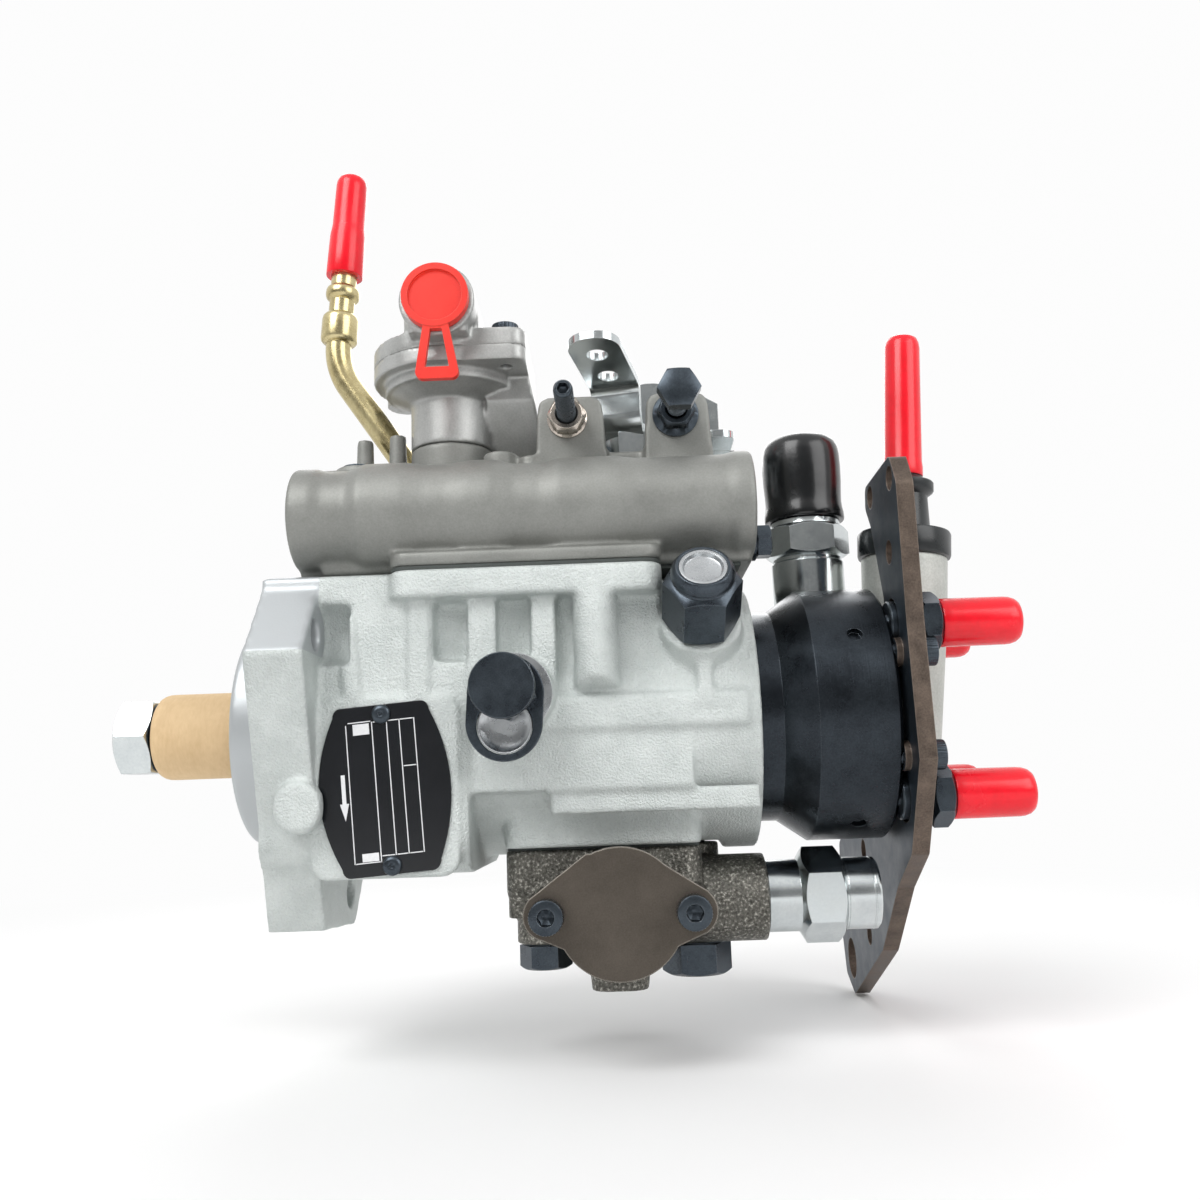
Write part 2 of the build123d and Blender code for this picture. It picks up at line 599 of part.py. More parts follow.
with BuildPart() as stop_lever:
    # hub with its front wall, tongue towards the near side, upright tab
    with BuildSketch(Plane.XY.offset(stop_plate - 11)):
        with Locations((stop_x, stop_y)):
            Circle(6)
        with Locations((stop_x + 1.0, stop_y - 5)):
            Rectangle(13, 2.4)
        with Locations((stop_x + 1.0, stop_y - 2)):
            Rectangle(8, 6)
    extrude(amount=11)
    with BuildSketch(Plane.XY.offset(stop_plate)):
        with Locations((stop_x + 0.8, stop_y - 8)):
            RectangleRounded(11, 28, 4.5)
    extrude(amount=lever_plate)
    with BuildSketch(near_plane(stop_x - 0.8, stop_y - 8, stop_plate)):
        with BuildLine():
            Polyline((-3.4, 0), (3.4, 0), (3.4, 16), (-1, 18.6), (-3.4, 18.6), close=True)
        make_face()
    extrude(amount=-2)
    # shaft down into the cover, with its crank
    with BuildSketch(Plane.XY.offset(linkage_height + 0.6)):
        with Locations((stop_x, stop_y)):
            Circle(stop_shaft_dia / 2)
    extrude(amount=stop_plate - linkage_height - 0.6)
    with BuildSketch(Plane.XY.offset(linkage_height - 2.4)):
        with Locations((stop_x - 2.5, stop_y)):
            Rectangle(7, 4)
    extrude(amount=3.2)

# ---------------------------------------------------------------- boost control
with BuildPart() as boost_brace:
    # arm that slopes back from the flange down to the cover
    with BuildSketch(Plane.YZ.offset(boost_x + boost_neck_dia / 2 - 1)):
        with BuildLine():
            Polyline((-9, boost_flange_height), (-9, boost_flange_height - 8), (7, cover_top), (18.8, cover_top),
                     (18.8, boost_flange_height), close=True)
        make_face()
    extrude(amount=24)
    with BuildSketch(near_plane(boost_x, -10, cover_top)):
        with BuildLine():
            Polyline((10, 13.3), (14, 13.3), (19, 0), (33, 0), (26, boost_flange_height - cover_top), (10, boost_flange_height - cover_top),
                     close=True)
        make_face()
    extrude(amount=-40, mode=Mode.INTERSECT)
with BuildPart() as boost_body:
    rod_bore = 2.95
    spring_bore = 6.2
    add(turned([(boost_seam, rod_bore), (boost_seam, boost_neck_dia / 2), (boost_flange_height - 7.3, boost_neck_dia / 2),
                (boost_flange_height - 3.7, 20.0), (boost_flange_height - 3.7, 21.4), (boost_flange_height, 21.4),
                (boost_flange_height, spring_bore), (boost_seam + 3, spring_bore), (boost_seam + 3, rod_bore)],
               Plane(origin=(boost_x, 0, 0), x_dir=(0, 0, 1), z_dir=(0, 1, 0))))
    with BuildSketch(Plane.XY.offset(boost_flange_height)):
        with Locations((boost_x, 0)):
            Circle(25)
        with Locations((boost_x + 12.5, 0)):
            RectangleRounded(27, 48, 4)
        with Locations((boost_x - 17.5, 17.5)):
            Circle(7)
    extrude(amount=boost_layer)
    add(boost_brace.part)
    with BuildSketch(Plane.XY.offset(boost_flange_height + boost_layer)):
        with Locations((boost_x, 0)):
            Circle(18.6)
    extrude(amount=-6, mode=Mode.SUBTRACT)
    with BuildSketch(Plane.XY.offset(boost_flange_height + 6)):
        with Locations((boost_x + 19.5, -16.5), (boost_x + 19.5, 16.5), (boost_x - 19.0, 18.5)):
            Circle(2.1)
    extrude(amount=-20, mode=Mode.SUBTRACT)
boost_lid = boost_flange_height + boost_layer
boost_port = boost_flange_height + 17.1
block_low = boost_lid + 2.2            # underside of the port's square block
with BuildPart() as boost_cover:
    with BuildSketch(Plane.XY.offset(boost_lid)):
        with Locations((boost_x, 0)):
            Circle(25)
        with Locations((boost_x + 12.5, 0)):
            RectangleRounded(27, 48, 4)
        with Locations((boost_x - 17.5, 17.5)):
            Circle(7)
    extrude(amount=5.4)
    with BuildSketch(near_plane(boost_x, -31, boost_port)):
        Circle(11.6)
    extrude(amount=-44)
    with BuildSketch(near_plane(boost_x, -29.5, 0)):
        with Locations((0, (block_low + boost_port) / 2)):
            Rectangle(18, boost_port - block_low)
    extrude(amount=-42)
    with BuildSketch(near_plane(boost_x, -22, 0)):
        with Locations((0, (block_low + boost_port) / 2)):
            Rectangle(23.2, boost_port - block_low)
    extrude(amount=-35)
    with BuildSketch(near_plane(boost_x, -31, boost_port)):
        Circle(8.0)
    extrude(amount=-16, mode=Mode.SUBTRACT)
    with BuildSketch(Plane.XY.offset(boost_lid)):
        with Locations((boost_x, 0)):
            Circle(18.6)
    extrude(amount=3.4, mode=Mode.SUBTRACT)
    with BuildSketch(Plane.XY.offset(boost_lid + 6)):
        with Locations((boost_x + 19.5, -16.5), (boost_x + 19.5, 16.5), (boost_x - 19.0, 18.5)):
            Circle(2.6)
    extrude(amount=-8, mode=Mode.SUBTRACT)
with BuildPart() as boost_screws:
    for spot in ((boost_x + 19.5, -16.5), (boost_x + 19.5, 16.5), (boost_x - 19.0, 18.5)):
        add(bolt(Plane(origin=(*spot, boost_lid + 5.4), x_dir=(1, 0, 0), z_dir=(0, 0, 1)), 8.5, 3.4, 4.0, 9, socket=3))
with BuildPart() as boost_plug:
    with BuildSketch(near_plane(boost_x, -31.2, boost_port)):
        Circle(10.2)
    extrude(amount=3.2)
    with BuildSketch(near_plane(boost_x, -34.4, boost_port)):
        Circle(8.2)
    extrude(amount=-0.9, mode=Mode.SUBTRACT)
    with BuildSketch(near_plane(boost_x, -31.2, boost_port)):
        Circle(7.8)
    extrude(amount=-9)
    with BuildSketch(near_plane(boost_x, -32.0, boost_port)):
        with BuildLine():
            Polyline((-3.6, -9.2), (4.0, -9.2), (7.4, -26.6), (-6.4, -26.6), close=True)
        make_face()
        fillet(vertices().group_by(Axis.Y)[0], 2.2)
        with BuildLine():
            Polyline((-1.5, -10.8), (2.0, -10.8), (4.1, -22.9), (-3.2, -22.9), close=True)
        make_face(mode=Mode.SUBTRACT)
    extrude(amount=2.2)
with BuildPart() as boost_rod:
    with BuildSketch(Plane.XY.offset(cover_bottom + 17.5)):
        with Locations((boost_x, 0)):
            Circle(2.9)
    extrude(amount=boost_lid - cover_bottom - 17.5)
    with BuildSketch(Plane.XY.offset(boost_lid - 1.0)):
        with Locations((boost_x, 0)):
            Circle(18.2)
    extrude(amount=1.6)
with BuildPart() as boost_spring:
    add(coil(Plane(origin=(boost_x, 0, boost_seam + 3), x_dir=(0, 0, 1), z_dir=(1, 0, 0)), 5.6, 1.3, 22.6, 6))

# ---------------------------------------------------------------- return pipe
pipe_bends = [Vector(pipe_foot[0], pipe_foot[1], cover_top + 1.5), Vector(pipe_foot[0], pipe_foot[1], cover_top + 11.1),
              Vector(8.0, pipe_foot[1], cover_top + 48.5), Vector(11.2, pipe_foot[1], cover_top + 90.5)]
pipe_top = Plane(origin=pipe_bends[2], x_dir=pipe_bends[3] - pipe_bends[2], z_dir=(0, -1, 0))
with BuildPart() as return_pipe:
    with BuildLine():
        FilletPolyline(*pipe_bends, radius=24)
    with BuildSketch(Plane(origin=pipe_bends[0], z_dir=(0, 0, 1))):
        Circle(4.3)
        Circle(3.1, mode=Mode.SUBTRACT)
    sweep()
    add(turned([(9.0, 4.2), (9.6, 6.2), (18.2, 6.2), (19.2, 5.2), (19.2, 4.2)], pipe_top))
    add(turned([(24.4, 4.2), (25.4, 5.6), (28.4, 5.6), (29.4, 4.2)], pipe_top))

# ---------------------------------------------------------------- stop solenoid
solenoid_x, solenoid_y = 163.5, 12.0
solenoid_seat = 36.0
with BuildPart() as stop_solenoid:
    up = Plane(origin=(solenoid_x, solenoid_y, 0), x_dir=(0, 0, 1), z_dir=(0, -1, 0))
    add(turned([(24, 0), (24, 5.9), (solenoid_seat, 5.9), (solenoid_seat, 11.6), (52.6, 11.6), (53.4, 11.0),
                (54.2, 11.0), (54.2, 0)], up))
    with BuildSketch(Plane.XY.offset(54.2)):
        with Locations((solenoid_x, solenoid_y)):
            RegularPolygon(radius=12.2, side_count=6, major_radius=False)
    extrude(amount=10.4)
    add(turned([(64.6, 0), (64.6, 11.4), (67.0, 11.4), (67.0, 9), (84, 9), (84, 0)], up))
with BuildPart() as solenoid_cap:
    add(turned([(67.2, 9.1), (67.2, 12.2), (70.0, 12.1), (73.0, 11.7), (76.0, 12.0), (87.4, 11.9), (89.6, 11.2),
                (91.3, 9.6), (92.3, 7.0), (92.8, 3.5), (92.9, 0), (84.2, 0), (84.2, 9.1)], up))

# ---------------------------------------------------------------- hydraulic head
tail_radius = 3.0                    # outlet holders' tails in the head
holder_start, holder_end = 190.6, 196.8
with BuildPart() as hydraulic_head:
    add(turned([(head_seat, 0), (head_seat, head_bore_dia / 2 - running_fit), (barrel_end - 6, head_bore_dia / 2 - running_fit),
                (barrel_end - 6, cam_outer_dia / 2), (barrel_end + 7, head_neck_dia / 2), (barrel_end + 16, head_dia / 2),
                (head_end - 1, head_dia / 2), (head_end, head_dia / 2 - 1), (head_end, 0)]))
    with BuildSketch(Plane.XY.offset(solenoid_seat)):
        with Locations((solenoid_x, solenoid_y)):
            Circle(13)
    extrude(amount=20, mode=Mode.SUBTRACT)
    with BuildSketch(Plane.XY.offset(solenoid_seat)):
        with Locations((solenoid_x, solenoid_y)):
            Circle(6)
    extrude(amount=-12.5, mode=Mode.SUBTRACT)
    with BuildSketch(Plane.YZ.offset(head_seat)):
        Circle(rotor_dia / 2 + running_fit)
    extrude(amount=head_end - head_seat, mode=Mode.SUBTRACT)
    with BuildSketch(Plane.YZ.offset(head_end)):
        Circle(17)
    extrude(amount=-9.5, mode=Mode.SUBTRACT)
    with BuildSketch(Plane.YZ.offset(head_end)):
        with Locations(*outlet_points):
            Circle(tail_radius + running_fit)
    extrude(amount=-8, mode=Mode.SUBTRACT)
    with BuildSketch(Plane.XY.offset(40)):
        with Locations((metering_x, 0)):
            Circle(4 + running_fit)
    extrude(amount=-28.4, mode=Mode.SUBTRACT)
    with BuildSketch(Plane.XY.offset(-head_bore_dia / 2 - 3)):
        with Locations(advance_bolts_at[1]):
            Circle(4.1)
    extrude(amount=10, mode=Mode.SUBTRACT)
    with BuildSketch(Plane.YZ.offset(head_end)):
        with Locations(*bracket_screws_at):
            Circle(2.6)
    extrude(amount=-14, mode=Mode.SUBTRACT)
    for angle in (58, 300, 150):
        radial = Plane(origin=(168, cos(radians(angle + 90)) * 36.2, sin(radians(angle + 90)) * 36.2), x_dir=(1, 0, 0),
                       z_dir=(0, cos(radians(angle + 90)), sin(radians(angle + 90))))
        with BuildSketch(radial):
            Circle(2.2)
        extrude(amount=6, mode=Mode.SUBTRACT)


# ---------------------------------------------------------------- delivery outlets
with BuildPart() as delivery_holders:
    for spot in outlet_points:
        along = Plane(origin=(0, *spot), x_dir=(1, 0, 0), z_dir=(0, -1, 0))
        add(turned([(head_end - 7.5, 0), (head_end - 7.5, tail_radius), (head_end, tail_radius), (head_end, 6.8),
                    (holder_start, 6.8), (holder_start, 0)], along))
        with BuildSketch(Plane(origin=(holder_start, *spot), x_dir=(0, 1, 0), z_dir=(1, 0, 0))):
            RegularPolygon(radius=holder_flats / 2, side_count=6, major_radius=False, rotation=30)
        extrude(amount=holder_end - holder_start)
        add(turned([(holder_end, 0), (holder_end, 5.9), (208, 5.9), (209, 5), (209, 0)], along))

# ---------------------------------------------------------------- support bracket
with BuildPart() as support_bracket:
    with BuildSketch(Plane.YZ.offset(bracket_start)):
        with BuildLine():
            Polyline((-42.6, 62), (-37, 71.2), (-4, 70.6), (-2.5, 64), (-8, 57), (-18, 32), (-13, 23.6), (0, 27),
                     (26, 12), (42, 8), (44, -25), (82, -43), (88, -76), (84, -90), (71, -95.5), (27, -77), (20, -74),
                     (-7, -52.6), (-27, -42), (-44, -16), (-42, 22), close=True)
        make_face()
        fillet(vertices().filter_by(lambda v: abs(v.Y) > 30 or v.Z > 60), 3)
        with Locations(*bracket_holes_at):
            Circle(3.6, mode=Mode.SUBTRACT)
        with Locations(bracket_foot_at):
            Circle(7, mode=Mode.SUBTRACT)
        Circle(27, mode=Mode.SUBTRACT)
        with Locations(*outlet_points):
            Circle(7.6, mode=Mode.SUBTRACT)
        with Locations(*bracket_screws_at):
            Circle(2.75, mode=Mode.SUBTRACT)
    extrude(amount=bracket_thickness)
    with BuildSketch(Plane.YZ.offset(head_end)):
        with Locations(*bracket_screws_at):
            Circle(4.2)
            Circle(2.75, mode=Mode.SUBTRACT)
    extrude(amount=bracket_start - head_end)
with BuildPart() as bracket_screws:
    for spot in bracket_screws_at:
        add(bolt(Plane(origin=(bracket_end, *spot), x_dir=(0, 1, 0), z_dir=(1, 0, 0)), 8.5, 5, 5, 18, socket=4))

# ---------------------------------------------------------------- end plate with the fuel inlet tower
inlet_axis = Plane(origin=(inlet_x, inlet_y, 50), x_dir=(sin(radians(4)), 0, cos(radians(4))), z_dir=(0, -1, 0))
with BuildPart() as end_plate:
    with BuildSketch(Plane.YZ.offset(head_end)):
        Circle(26)
    extrude(amount=8.6)
    add(turned([(-66, 0), (-66, 8.0), (-63, 10.6), (-20, 13.2), (-1, 13.6), (0, 12.6), (0, 0)], inlet_axis))
    # relief for the spanner on the upper far outlet, and the bores
    with BuildSketch(Plane.YZ.offset(head_end + 8.6)):
        with Locations(outlet_points[0]):
            Circle(11.6)
    extrude(amount=40, mode=Mode.SUBTRACT)
    with BuildSketch(Plane.YZ.offset(head_end)):
        with Locations(outlet_points[0]):
            Circle(7.6)
    extrude(amount=40, mode=Mode.SUBTRACT)
    with BuildSketch(Plane(origin=inlet_axis.origin, x_dir=(0, 1, 0), z_dir=inlet_axis.x_dir)):
        Circle(5)
    extrude(amount=-48, mode=Mode.SUBTRACT)
with BuildPart() as inlet_connector:
    add(turned([(0.4, 5.5), (0.4, 12.6), (2.2, 14.6), (10.0, 14.8), (11.0, 13.8), (11.0, 5.5)], inlet_axis))
    add(turned([(-8, 0), (-8, 4.95), (0.2, 4.95), (0.2, 5.4), (11.3, 5.4), (11.3, 8.4), (20, 7.6), (21.5, 9.6), (24.5, 9.6),
                (25.4, 7.0), (28.0, 5.0), (33, 4.6), (33, 0)], inlet_axis))

# ---------------------------------------------------------------- transit caps on every opening
with BuildPart() as transit_caps:
    for spot in outlet_points:
        along = Plane(origin=(0, *spot), x_dir=(1, 0, 0), z_dir=(0, -1, 0))
        add(turned([(holder_end + 0.3, 5.95), (holder_end + 0.3, 7.05), (213.6, 6.9), (215.4, 6.3), (216.7, 5.0),
                    (217.4, 3.0), (217.6, 0), (210.0, 0), (210.0, 5.95)], along))
    add(turned([(28.6, 5.1), (28.6, 6.3), (30.4, 6.3), (32.0, 6.0), (72.0, 5.7), (73.8, 5.0), (75.0, 3.4), (75.5, 1.6),
                (75.6, 0), (33.4, 0), (33.4, 5.1)], inlet_axis))
    add(turned([(35.6, 4.35), (35.6, 6.2), (49.0, 6.0), (51.0, 5.5), (67.2, 5.3), (69.2, 4.6), (70.4, 3.2), (70.9, 1.6),
                (71.0, 0), (42.8, 0), (42.8, 4.35)], pipe_top))

# ---------------------------------------------------------------- advance unit
across = Plane(origin=(cam_centre, 0, -advance_drop), x_dir=(0, 1, 0), z_dir=(0, 0, 1))
body_top = -pad_drop - advance_seal
with BuildPart() as advance_body:
    with BuildSketch(Plane.XY.offset(body_top)):
        with Locations(((pad_start + pad_end) / 2, (advance_far - advance_near) / 2 + 3)):
            RectangleRounded(pad_end - pad_start, 52, 5)
    extrude(amount=-12)
    with BuildSketch(Plane.XY.offset(body_top - 11.5)):
        with Locations((cam_centre, (advance_far - advance_near) / 2)):
            RectangleRounded(33, advance_far + advance_near, 4)
    extrude(amount=-8)
    with BuildSketch(Plane.XZ.offset(advance_near)):
        with Locations((cam_centre, -advance_drop)):
            Circle(advance_drop + body_top)
        with Locations((cam_centre - 19.4, -advance_drop), (cam_centre + 19.5, -advance_drop)):
            Circle(6.2)
        with Locations((cam_centre, -advance_drop)):
            Rectangle(39, 12)
    extrude(amount=-advance_far - advance_near)
    # side barrel for the pressure plug, the drive-end lug and the boss underneath
    with BuildSketch(Plane.YZ.offset(cam_centre + 6)):
        with Locations((plug_y, plug_z)):
            Circle(12.5)
    extrude(amount=plug_start - cam_centre - 6)
    with BuildSketch(Plane.XY.offset(-44)):
        with Locations((71, -16)):
            RectangleRounded(9, 18, 3)
    extrude(amount=-12)
    with BuildSketch(Plane.XY.offset(-62)):
        with Locations((97.5, -14)):
            RectangleRounded(19, 26, 6)
    extrude(amount=-14.6, taper=6)
    for spot, seat in zip(advance_bolts_at, advance_bolt_seats):
        with BuildSketch(Plane.XY.offset(body_top)):
            with Locations(spot):
                Circle(8)
        extrude(amount=seat - body_top)
    # bores: piston, cam stud, plug, bolts
    with BuildSketch(Plane.XZ.offset(advance_near)):
        with Locations((cam_centre, -advance_drop)):
            Circle(advance_bore_dia / 2)
    extrude(amount=-advance_near - advance_far + 4, mode=Mode.SUBTRACT)
    with BuildSketch(Plane.XY.offset(body_top)):
        with Locations((cam_centre, 0)):
            SlotOverall(24, 12, rotation=90)
    extrude(amount=-12, mode=Mode.SUBTRACT)
    with BuildSketch(Plane.YZ.offset(plug_start)):
        with Locations((plug_y, plug_z)):
            Circle(8.05)
    extrude(amount=-14, mode=Mode.SUBTRACT)
    with BuildSketch(Plane.XY.offset(body_top)):
        with Locations(*advance_bolts_at):
            Circle(4.1)
    extrude(amount=-40, mode=Mode.SUBTRACT)
    with BuildSketch(Plane.XZ.offset(advance_near)):
        with Locations(*plate_screws_at):
            Circle(2.55)
    extrude(amount=-12, mode=Mode.SUBTRACT)
with BuildPart() as advance_gasket:
    with BuildSketch(Plane.XY.offset(-pad_drop)):
        with Locations(((pad_start + pad_end) / 2, 0)):
            RectangleRounded(pad_end - pad_start - 1, 50, 4)
        with Locations((cam_centre, 0)):
            SlotOverall(30, 15, rotation=90, mode=Mode.SUBTRACT)
        with Locations(*advance_bolts_at):
            Circle(4.3, mode=Mode.SUBTRACT)
    extrude(amount=-advance_seal)
with BuildPart() as advance_cover_plate:
    with BuildSketch(Plane.XZ.offset(advance_near)):
        with Locations((cam_centre, -advance_drop)):
            Circle(plate_radius)
        with Locations(*plate_screws_at):
            Circle(ear_radius)
        with BuildLine():
            Polyline(*plate_outline, close=True)
        make_face()
        with Locations(*plate_screws_at):
            Circle(2.75, mode=Mode.SUBTRACT)
    extrude(amount=plate_thickness)
    with BuildSketch(Plane.XZ.offset(advance_near)):
        with Locations((cam_centre, -advance_drop)):
            Circle(advance_bore_dia / 2 - running_fit)
    extrude(amount=-3)
    with BuildSketch(Plane.XZ.offset(advance_near + plate_thickness)):
        with Locations(*plate_screws_at):
            Circle(2.75)
    extrude(amount=-plate_thickness, mode=Mode.SUBTRACT)
with BuildPart() as advance_side_plug:
    add(turned([(plug_start - 12, 0), (plug_start - 12, 8), (plug_start, 8), (plug_start, 10.4), (151, 10.4), (151, 0)],
               Plane(origin=(0, plug_y, plug_z), x_dir=(1, 0, 0), z_dir=(0, -1, 0))))
    with BuildSketch(Plane(origin=(151, plug_y, plug_z), x_dir=(0, 1, 0), z_dir=(1, 0, 0))):
        RegularPolygon(radius=12, side_count=6, major_radius=False)
    extrude(amount=12.4)
    add(turned([(163.4, 0), (163.4, 10.4), (172.6, 10.4), (173.6, 9.4), (173.6, 0)],
               Plane(origin=(0, plug_y, plug_z), x_dir=(1, 0, 0), z_dir=(0, -1, 0))))
with BuildPart() as advance_bolts:
    for x, z in plate_screws_at:
        add(bolt(near_plane(x, -advance_near - plate_thickness, z), 9.4, 5.4, 5, 14, socket=4))
    for (x, y), seat, flats, size, shank in zip(advance_bolts_at, advance_bolt_seats, (13, 18), (7.0, 9.5), (30.9, 42.3)):
        add(bolt(Plane(origin=(x, y, seat), x_dir=(1, 0, 0), z_dir=(0, 0, -1)), flats, size, 8, shank))
with BuildPart() as advance_piston:
    with BuildSketch(Plane.XZ.offset(34)):
        with Locations((cam_centre, -advance_drop)):
            Circle(advance_bore_dia / 2 - running_fit)
    extrude(amount=-34 - 16)
    with BuildSketch(Plane.XZ.offset(-16)):
        with Locations((cam_centre, -advance_drop)):
            Circle(7)
    extrude(amount=8, mode=Mode.SUBTRACT)
    with BuildSketch(Plane.XY.offset(-advance_drop + advance_bore_dia / 2)):
        with Locations((cam_centre, 0)):
            Circle(stud_ball_dia / 2 + seat_gap)
    extrude(amount=-advance_bore_dia / 2 - 6, mode=Mode.SUBTRACT)
with BuildPart() as advance_spring:
    add(coil(Plane(origin=(cam_centre, 20.8, -advance_drop), x_dir=(0, 1, 0), z_dir=(0, 0, 1)), 8.5, 1.6, 11, 5))

# ---------------------------------------------------------------- cam ring and its stud
with BuildPart() as cam_ring:
    with BuildSketch(Plane.YZ.offset(cam_centre - cam_width / 2)):
        Circle(cam_outer_dia / 2)
        Circle(cam_inner_dia / 2, mode=Mode.SUBTRACT)
    extrude(amount=cam_width)
    with BuildSketch(Plane.XY.offset(-cam_outer_dia / 2 + 3)):
        with Locations((cam_centre, 0)):
            Circle(stud_ball_dia / 2 - 1)
    extrude(amount=-advance_drop + cam_outer_dia / 2 - 3)
    with Locations((cam_centre, 0, -advance_drop)):
        Sphere(stud_ball_dia / 2)

# ---------------------------------------------------------------- drive shaft and what turns with it
with BuildPart() as drive_shaft:
    add(turned([(nut_start - 1.4, 0), (nut_start - 1.4, 6.2), (nut_start - 0.6, 7), (shaft_shoulder, 7),
                (shaft_shoulder, 9.6), (-24, shaft_journal_dia / 2), (22, shaft_journal_dia / 2), (22, shaft_mid_dia / 2),
                (rotor_start, shaft_mid_dia / 2), (rotor_start, 0)]))
    with Locations((rotor_start, 0, 0)):
        Box(10, 30, 6, mode=Mode.SUBTRACT)
with BuildPart() as shaft_nut:
    with BuildSketch(Plane(origin=(nut_start, 0, 0), x_dir=(0, 1, 0), z_dir=(1, 0, 0))):
        RegularPolygon(radius=nut_flats / 2, side_count=6, major_radius=False)
        Circle(7, mode=Mode.SUBTRACT)
    extrude(amount=nut_length - 0.1)
    with BuildSketch(Plane.YZ.offset(nut_start + nut_length)):
        Circle(11.8)
        Circle(7.05, mode=Mode.SUBTRACT)
    extrude(amount=washer_length)
with BuildPart() as shaft_sleeve:
    with BuildSketch(Plane.YZ.offset(shaft_shoulder + 0.2)):
        Circle(sleeve_dia / 2)
        Circle(shaft_journal_dia / 2 + 0.1, mode=Mode.SUBTRACT)
    extrude(amount=-spigot_length - seat_gap - shaft_shoulder - 0.2)
with BuildPart() as shaft_seal:
    add(turned([(-spigot_length + 0.4, shaft_journal_dia / 2 + 0.1), (-spigot_length + 0.4, 17), (-spigot_length + 1.2, 21),
                (-4.3, 21), (-4.3, 16.5), (-6.0, 15), (-6.0, shaft_journal_dia / 2 + 0.1)]))
with BuildPart() as shaft_bush:
    with BuildSketch(Plane.YZ.offset(-4.3)):
        Circle(16)
        Circle(shaft_journal_dia / 2 + running_fit, mode=Mode.SUBTRACT)
    extrude(amount=26)
with BuildPart() as weight_carrier:
    add(turned([(26.6, shaft_mid_dia / 2), (26.6, 29.5), (29.8, 29.5), (29.8, 13), (35.4, 12), (35.4, shaft_mid_dia / 2)]))
    for quarter in range(4):
        for side in (-1, 1):
            with BuildSketch(Plane(origin=(29.8, 0, 0), x_dir=(0, cos(radians(90 * quarter + 45)), sin(radians(90 * quarter + 45))),
                                   z_dir=(1, 0, 0))):
                with Locations((weight_pivot[1], side * 9.4)):
                    Rectangle(6, 2.2)
            extrude(amount=10.2)
        with BuildSketch(weight_plane(quarter).offset(-10.5)):
            with Locations(weight_pivot):
                Circle(1.5)
        extrude(amount=21)
flyweights = []
for quarter in range(4):
    with BuildPart() as flyweight:
        with BuildSketch(weight_plane(quarter).offset(-7)):
            with BuildLine():
                Polyline((34.6, 24.4), (34.6, 19.5), (36.4, 13.6), (38.5, 13.2), (38.5, 16.4), (40.0, 17.6), (53.0, 17.6), (53.0, 25.6),
                         (41.0, 25.6), close=True)
            make_face()
            with Locations(weight_pivot):
                Circle(1.5 + running_fit, mode=Mode.SUBTRACT)
        extrude(amount=14)
    flyweights.append(flyweight.part)
with BuildPart() as thrust_sleeve:
    add(turned([(38.8, shaft_mid_dia / 2 + running_fit), (38.8, 15.2), (41.4, 15.2), (41.4, 12), (55.4, 12), (55.4, 16.4),
                (58.0, 16.4), (58.0, shaft_mid_dia / 2 + running_fit)]))
with BuildPart() as distributor_rotor:
    add(turned([(rotor_start, 0), (rotor_start, rotor_dia / 2), (head_end - 0.8, rotor_dia / 2), (head_end - 0.8, 0)]))
    with BuildSketch(Plane.YZ.offset(rotor_start - 4.7)):
        Rectangle(17, 5.9)
    extrude(amount=4.7)
    with BuildSketch(Plane.YZ.offset(cam_centre - 7)):
        Circle(15.5)
    extrude(amount=14)
    with BuildSketch(Plane.XZ.offset(-20)):
        with Locations((cam_centre, 0)):
            Circle(4 + running_fit)
    extrude(amount=40, mode=Mode.SUBTRACT)
plungers = []
for side in (-1, 1):
    with BuildPart() as plunger:
        with BuildSketch(Plane.XZ.offset(side * 1.2)):
            with Locations((cam_centre, 0)):
                Circle(4)
        extrude(amount=side * 15.2)
        with BuildSketch(Plane.XZ.offset(side * 16)):
            with Locations((cam_centre, 0)):
                Rectangle(13, 8)
        extrude(amount=side * 3.6)
    plungers.append(plunger.part)
with BuildPart() as transfer_liner:
    with BuildSketch(Plane.YZ.offset(head_end - 9.2)):
        Circle(17 - running_fit)
        with Locations((0, 1.4)):
            Circle(13, mode=Mode.SUBTRACT)
    extrude(amount=8.9)

# ---------------------------------------------------------------- governor
with BuildPart() as governor_arm:
    with BuildSketch(near_plane(0, -16, 0)):
        with BuildLine():
            Polyline((58.3, -3), (62.5, -3), (63.6, 22), (69.6, 27), (69.6, 33), (66.0, 38), (62.0, 33), (60.6, 24),
                     (60.0, 11), (58.3, 2), close=True)
        make_face()
        with Locations(arm_pivot):
            Circle(1.5 + running_fit, mode=Mode.SUBTRACT)
    extrude(amount=-32)
    with BuildSketch(near_plane(0, -12.5, 0)):
        with Locations((66, 12)):
            Rectangle(20, 40)
    extrude(amount=-25, mode=Mode.SUBTRACT)
    with BuildSketch(near_plane(arm_pivot[0], -16, 36)):
        Rectangle(3.6, 7)
    extrude(amount=-32)
    with BuildSketch(near_plane(arm_pivot[0], -11, (linkage_height + 2.6 + 36) / 2)):
        Rectangle(3, linkage_height + 2.6 - 36)
    extrude(amount=-16)
with BuildPart() as pivot_pin:
    with BuildSketch(near_plane(arm_pivot[0], -pivot_pin_length / 2, arm_pivot[1])):
        Circle(1.5)
    extrude(amount=-pivot_pin_length)
with BuildPart() as governor_spring:
    add(coil(Plane(origin=(68.0, 0, linkage_height - 8.4), x_dir=(1, 0, 0), z_dir=(0, 0, 1)), 4.2, 1.2, 27.5, 9))
